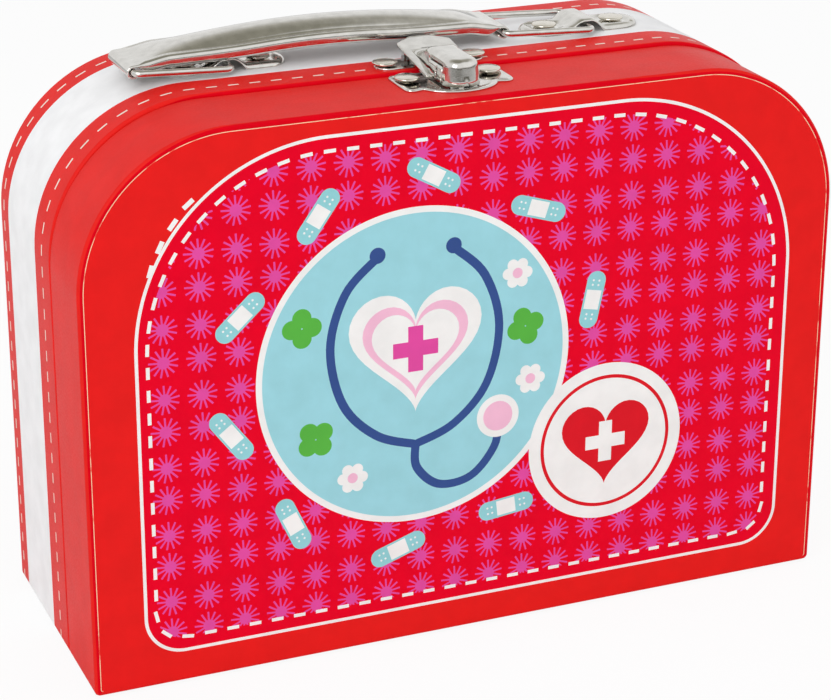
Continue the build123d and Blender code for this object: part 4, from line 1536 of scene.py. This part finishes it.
def hood_mesh(front, flap):
    """The hood's outer skin: stations from its rear to the middle of its nose, each from foot to crown."""
    rear = HOOD_RISE[0] + 1.5
    centre_y = front + HOOD_NOSE
    along = [rear + (centre_y - rear) * i / 26 for i in range(26)]
    cuts = (*HOOD_SLIT, *HOOD_PEEPHOLE)
    along = [y for y in along if min(abs(y - cut) for cut in cuts) > 0.1]
    plan = [(HOOD_HALF, y, 1.0, 0.0) for y in sorted([*along, *cuts], reverse=True)]
    for i in range(15):
        a = math.radians(90 * i / 14)
        x = HOOD_HALF - HOOD_NOSE + HOOD_NOSE * math.cos(a)
        plan.append((x, centre_y - HOOD_NOSE * math.sin(a), math.cos(a), -math.sin(a)))
    plan += [(x, front, 0.0, -1.0) for x in (NOTCH * 0.6, 0.0)]
    levels = [(HOOD_TAPER * level, level) for level in HOOD_LEVELS]
    for i in range(1, 7):
        a = math.radians(15 * i)
        levels.append((HOOD_TAPER + HOOD_FILLET * (1 - math.cos(a)), 1.0 + math.sin(a)))
    straight = HOOD_TOP - HOOD_FOOT - HOOD_FILLET
    points = []
    for x, y, nx, ny in plan:
        rise = ease((HOOD_RISE[0] - y) / (HOOD_RISE[0] - HOOD_RISE[1]))
        base = flap(y) - 0.3 if y > HOOD_SIDES else deck + HOOD_FOOT
        crown = flap(y) + 0.4 + (deck + HOOD_TOP - flap(y) - 0.4) * rise
        for inset, level in levels:
            climb = level * straight if level <= 1 else straight + (level - 1) * HOOD_FILLET
            z = base + (crown - base) * climb / (straight + HOOD_FILLET)
            if abs(x) <= NOTCH * 0.6 and level == 0:
                z += NOTCH
            points.append((max(0.0, x - nx * inset), y - ny * inset, z))
    return points, [station[1] for station in plan], len(levels)


def hood_is_cut(behind, ahead, row):
    """Whether the hood's side is open between two stations, in a row of faces counted from its foot."""

    def within(span):
        return span[1] - 0.01 <= ahead and behind <= span[0] + 0.01

    under_crown = len(HOOD_LEVELS) - 2
    nose_slit = within(HOOD_SLIT) and row <= under_crown
    crown_slit = within((HOOD_SIDES - 0.5, HOOD_SLIT[1])) and row == under_crown
    return nose_slit or crown_slit or (within(HOOD_PEEPHOLE) and row == 1)


def latch_lever():
    """The flap and its wings, with ears down to the pin, and the hood as a piece of its own."""
    low, high = box_mm("latch_lever")
    front, tail = low.y, high.y
    wing_front = seam_y - WING_REACH

    def flap(y):
        """The middle of the flap's sheet."""
        return deck + FLAP_LOW + (y - wing_front) / (tail - wing_front) * FLAP_RISE

    slot = FLAP_HALF - WING
    right_half = [(slot, HOOD_RISE[0]), (slot, wing_front), (FLAP_HALF, wing_front)]
    right_half += [(FLAP_HALF, tail - TAIL_CORNER), (FLAP_TAIL, tail)]
    radii = [0.4, 0.5, 0.5, 1.6, 1.6]
    outline = rounded(right_half + [(-x, y) for x, y in right_half[::-1]], radii + radii[::-1])
    sheet = (lambda x, y: flap(y) + SHEET_METAL / 2, lambda x, y: flap(y) - SHEET_METAL / 2)
    piece = stamped("latch_lever", "lever", outline, 0.2, *sheet, grid=0.8)

    skin, places, rows = hood_mesh(front, flap)
    half = [[Vector(p) for p in skin[i : i + rows]] for i in range(0, len(skin), rows)]
    sections = [right + [Vector((-p.x, p.y, p.z)) for p in right[::-1]] for right in half]
    points, faces = swept(sections, closed_section=False)
    kept = []
    for number, face in enumerate(faces):
        station, row = divmod(number, 2 * rows - 1)
        if not hood_is_cut(places[station], places[station + 1], min(row, 2 * rows - 2 - row)):
            kept.append(face)
    hood = make_piece("latch_lever_hood", "lever", "plated_steel", None, points, kept, [nickel])
    edit(hood, lambda bm: weld(bm, 0.002))
    edit(hood, face_outward)
    solidify(hood, SHEET_METAL * 0.75)

    pin_low, pin_high = box_mm("latch_pin")
    row = (pin_low.y + pin_high.y) / 2
    length = (row - PIN_EARS[2], row + PIN_EARS[2])
    add_boxes(piece, both_sides(*PIN_EARS[:2], length, (pin_low.z + 0.1, flap(row) - 0.2)))
    return piece


print(latch_lever().name)

# %% [markdown]
# What is left needs no new shape and keeps its CAD meshes: the boards and linings, the hinge leaves and the
# clip in nickel, and the pins and washers in zinc.

# %% Materials on the remaining CAD meshes
def nodes_named(pattern, *names):
    """The pattern with each name in its place."""
    return [pattern.format(name) for name in names]


WALLS = ("base_wall", "base_back", "lid_wall", "lid_front")
for material, nodes in (
    (grey_board, nodes_named("{}_board", *WALLS)),
    (lining, nodes_named("{}_lining", *WALLS)),
    (nickel, ["latch_clip", *nodes_named("hinge_base_leaf_{}", "left", "right")]),
    (nickel, nodes_named("hinge_lid_leaf_{}", "left", "right")),
    (zinc, ["latch_pin", *nodes_named("hinge_pin_{}", "left", "right")]),
    (zinc, nodes_named("{}_washers", "handle", "latch_base", "latch_lid", "hinge_base", "hinge_lid")),
):
    for node in nodes:
        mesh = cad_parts[node].data
        mesh.materials.clear()
        mesh.materials.append(material)
print("CAD meshes painted")

# %% [markdown]
# ## Camera, light and floor
#
# The case stands in a white room. The floor is white to the eye but keeps a faint shadow. Paper is lit by
# three softboxes and a pale room. Steel needs contrast, so it mirrors its own room: white behind the case,
# with a grey ceiling and a dark strip low in front.

# %% Camera
AZIMUTH, ELEVATION = -22.173, 21.071
DISTANCE = 844.95
AIM_HEIGHT = 90.0
SLIDE = (-6.62, 4.354)  # how far the camera is slid to the right and up, off the aim
FOCAL_LENGTH = 112.44
SHIFT = (0.0215, -0.0549)


def place_camera():
    """The camera, by its direction round the case, its distance and how far it is slid off the aim."""
    az, el = math.radians(AZIMUTH), math.radians(ELEVATION)
    back = Vector((math.sin(az) * math.cos(el), -math.cos(az) * math.cos(el), math.sin(el)))
    right = Vector((math.cos(az), math.sin(az), 0))
    up = back.cross(right)
    data = bpy.data.cameras.new("camera")
    data.sensor_width = 36.0
    data.lens = FOCAL_LENGTH
    data.shift_x, data.shift_y = SHIFT
    camera = new_object("camera", data)
    aim = Vector((0, 0, case_bottom + AIM_HEIGHT))
    camera.location = (aim + back * DISTANCE + right * SLIDE[0] + up * SLIDE[1]) * MM
    camera.rotation_euler = (math.pi / 2 - el, 0, az)
    bpy.context.scene.camera = camera
    return camera


camera = place_camera()
print("camera at", [round(v, 3) for v in camera.location])

# %% Floor
FLOOR_SIZE = 12000.0
FLOOR_GLOW = 0.92


def pale_floor():
    """A floor that glows white to the camera, a little less where the case's shadow falls."""
    material = bpy.data.materials.new("pale_studio_floor")
    tree = blank_tree(material)
    surface = add_node(tree, "ShaderNodeBsdfDiffuse", {"Color": linear("#F4F4F4")})
    glow = add_node(tree, "ShaderNodeEmission", {"Color": linear("#FFFFFF"), "Strength": 1.0})
    seen = add_node(tree, "ShaderNodeLightPath").outputs["Is Camera Ray"]
    share = add_node(tree, "ShaderNodeMath", {0: seen, 1: FLOOR_GLOW}, operation="MULTIPLY")
    mixed = add_node(tree, "ShaderNodeMixShader", {0: share, 1: surface, 2: glow})
    add_node(tree, "ShaderNodeOutputMaterial", {"Surface": mixed})
    half = FLOOR_SIZE / 2
    corners = [(-half, -half, 0), (half, -half, 0), (half, half, 0), (-half, half, 0)]
    mesh = mesh_of("floor", corners, [(0, 1, 2, 3)], smooth=False)
    mesh.materials.append(material)
    new_object("floor", mesh)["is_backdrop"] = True


pale_floor()

# %% Light
def area_light(name, place_mm, target_mm, size_mm, watts, mirrored=True):
    """A softbox; one that is not mirrored lights the steel without a hard edge in it."""
    data = bpy.data.lights.new(name, "AREA")
    data.shape = "RECTANGLE"
    data.size, data.size_y = (value * MM for value in size_mm)
    data.energy = watts
    lamp = new_object(name, data)
    place, target = Vector(place_mm) * MM, Vector(target_mm) * MM
    lamp.location = place
    lamp.rotation_euler = (place - target).to_track_quat("Z", "Y").to_euler()
    lamp.visible_glossy = mirrored


area_light("overhead_softbox", (-150, -150, 1100), (0, 0, 120), (1700, 1200), 2.9, mirrored=False)
area_light("front_softbox", (-1150, -1000, 900), (0, 0, 90), (900, 900), 10.2)
area_light("side_fill", (1300, -700, 500), (0, 0, 90), (800, 800), 3.5, mirrored=False)


def studio_world():
    """A white room. Steel mirrors a white backdrop behind the case, a grey ceiling and a darker front."""
    world = bpy.data.worlds.new("studio")
    tree = blank_tree(world)
    direction = add_node(tree, "ShaderNodeTexCoord").outputs["Generated"]
    axes = add_node(tree, "ShaderNodeSeparateXYZ", {0: direction}).outputs

    def ramp(stops):
        """A ramp of colours over the height of the direction."""
        node = add_node(tree, "ShaderNodeValToRGB", {"Fac": axes["Z"]})
        elements = node.color_ramp.elements
        for position, colour in stops[2:]:
            elements.new(position).color = linear(colour)
        for element, (position, colour) in zip(elements, sorted(stops[:2]) + stops[2:]):
            element.position, element.color = position, linear(colour)
        return node

    behind = ramp([(0.0, "#F8F8F8"), (0.55, "#F4F4F4"), (0.78, "#B9B7AE"), (0.93, "#98968A")])
    front = ramp([(0.02, "#5E5C52"), (0.18, "#FFFFFF"), (0.86, "#FFFFFF"), (0.93, "#98968A")])
    side = add_node(tree, "ShaderNodeMapRange", {"Value": axes["Y"], "From Min": -0.35, "From Max": 0.35})
    mirrored = add_node(tree, "ShaderNodeMix", {0: side, 6: front, 7: behind}, data_type="RGBA").outputs[2]
    room = add_node(tree, "ShaderNodeBackground", {"Color": linear("#EDEDED"), "Strength": 0.64})
    steel = add_node(tree, "ShaderNodeBackground", {"Color": mirrored, "Strength": 1.0})
    white = add_node(tree, "ShaderNodeBackground", {"Color": linear("#FFFFFF"), "Strength": 1.0})
    path = add_node(tree, "ShaderNodeLightPath").outputs
    lit = add_node(tree, "ShaderNodeMixShader", {0: path["Is Glossy Ray"], 1: room, 2: steel})
    seen = add_node(tree, "ShaderNodeMixShader", {0: path["Is Camera Ray"], 1: lit, 2: white})
    add_node(tree, "ShaderNodeOutputWorld", {"Surface": seen})
    bpy.context.scene.world = world


studio_world()
bpy.context.scene.view_settings.view_transform = "Standard"

# %% [markdown]
# Last, the CAD model's box and the dressed model's are printed side by side.

# %% Print the two boxes
low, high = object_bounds()
sizes = {"cad": [list(corner) for corner in cad_bounds], "visual": [list(low), list(high)]}
for label, corners in sizes.items():
    print(label, [[round(value / MM, 2) for value in corner] for corner in corners])
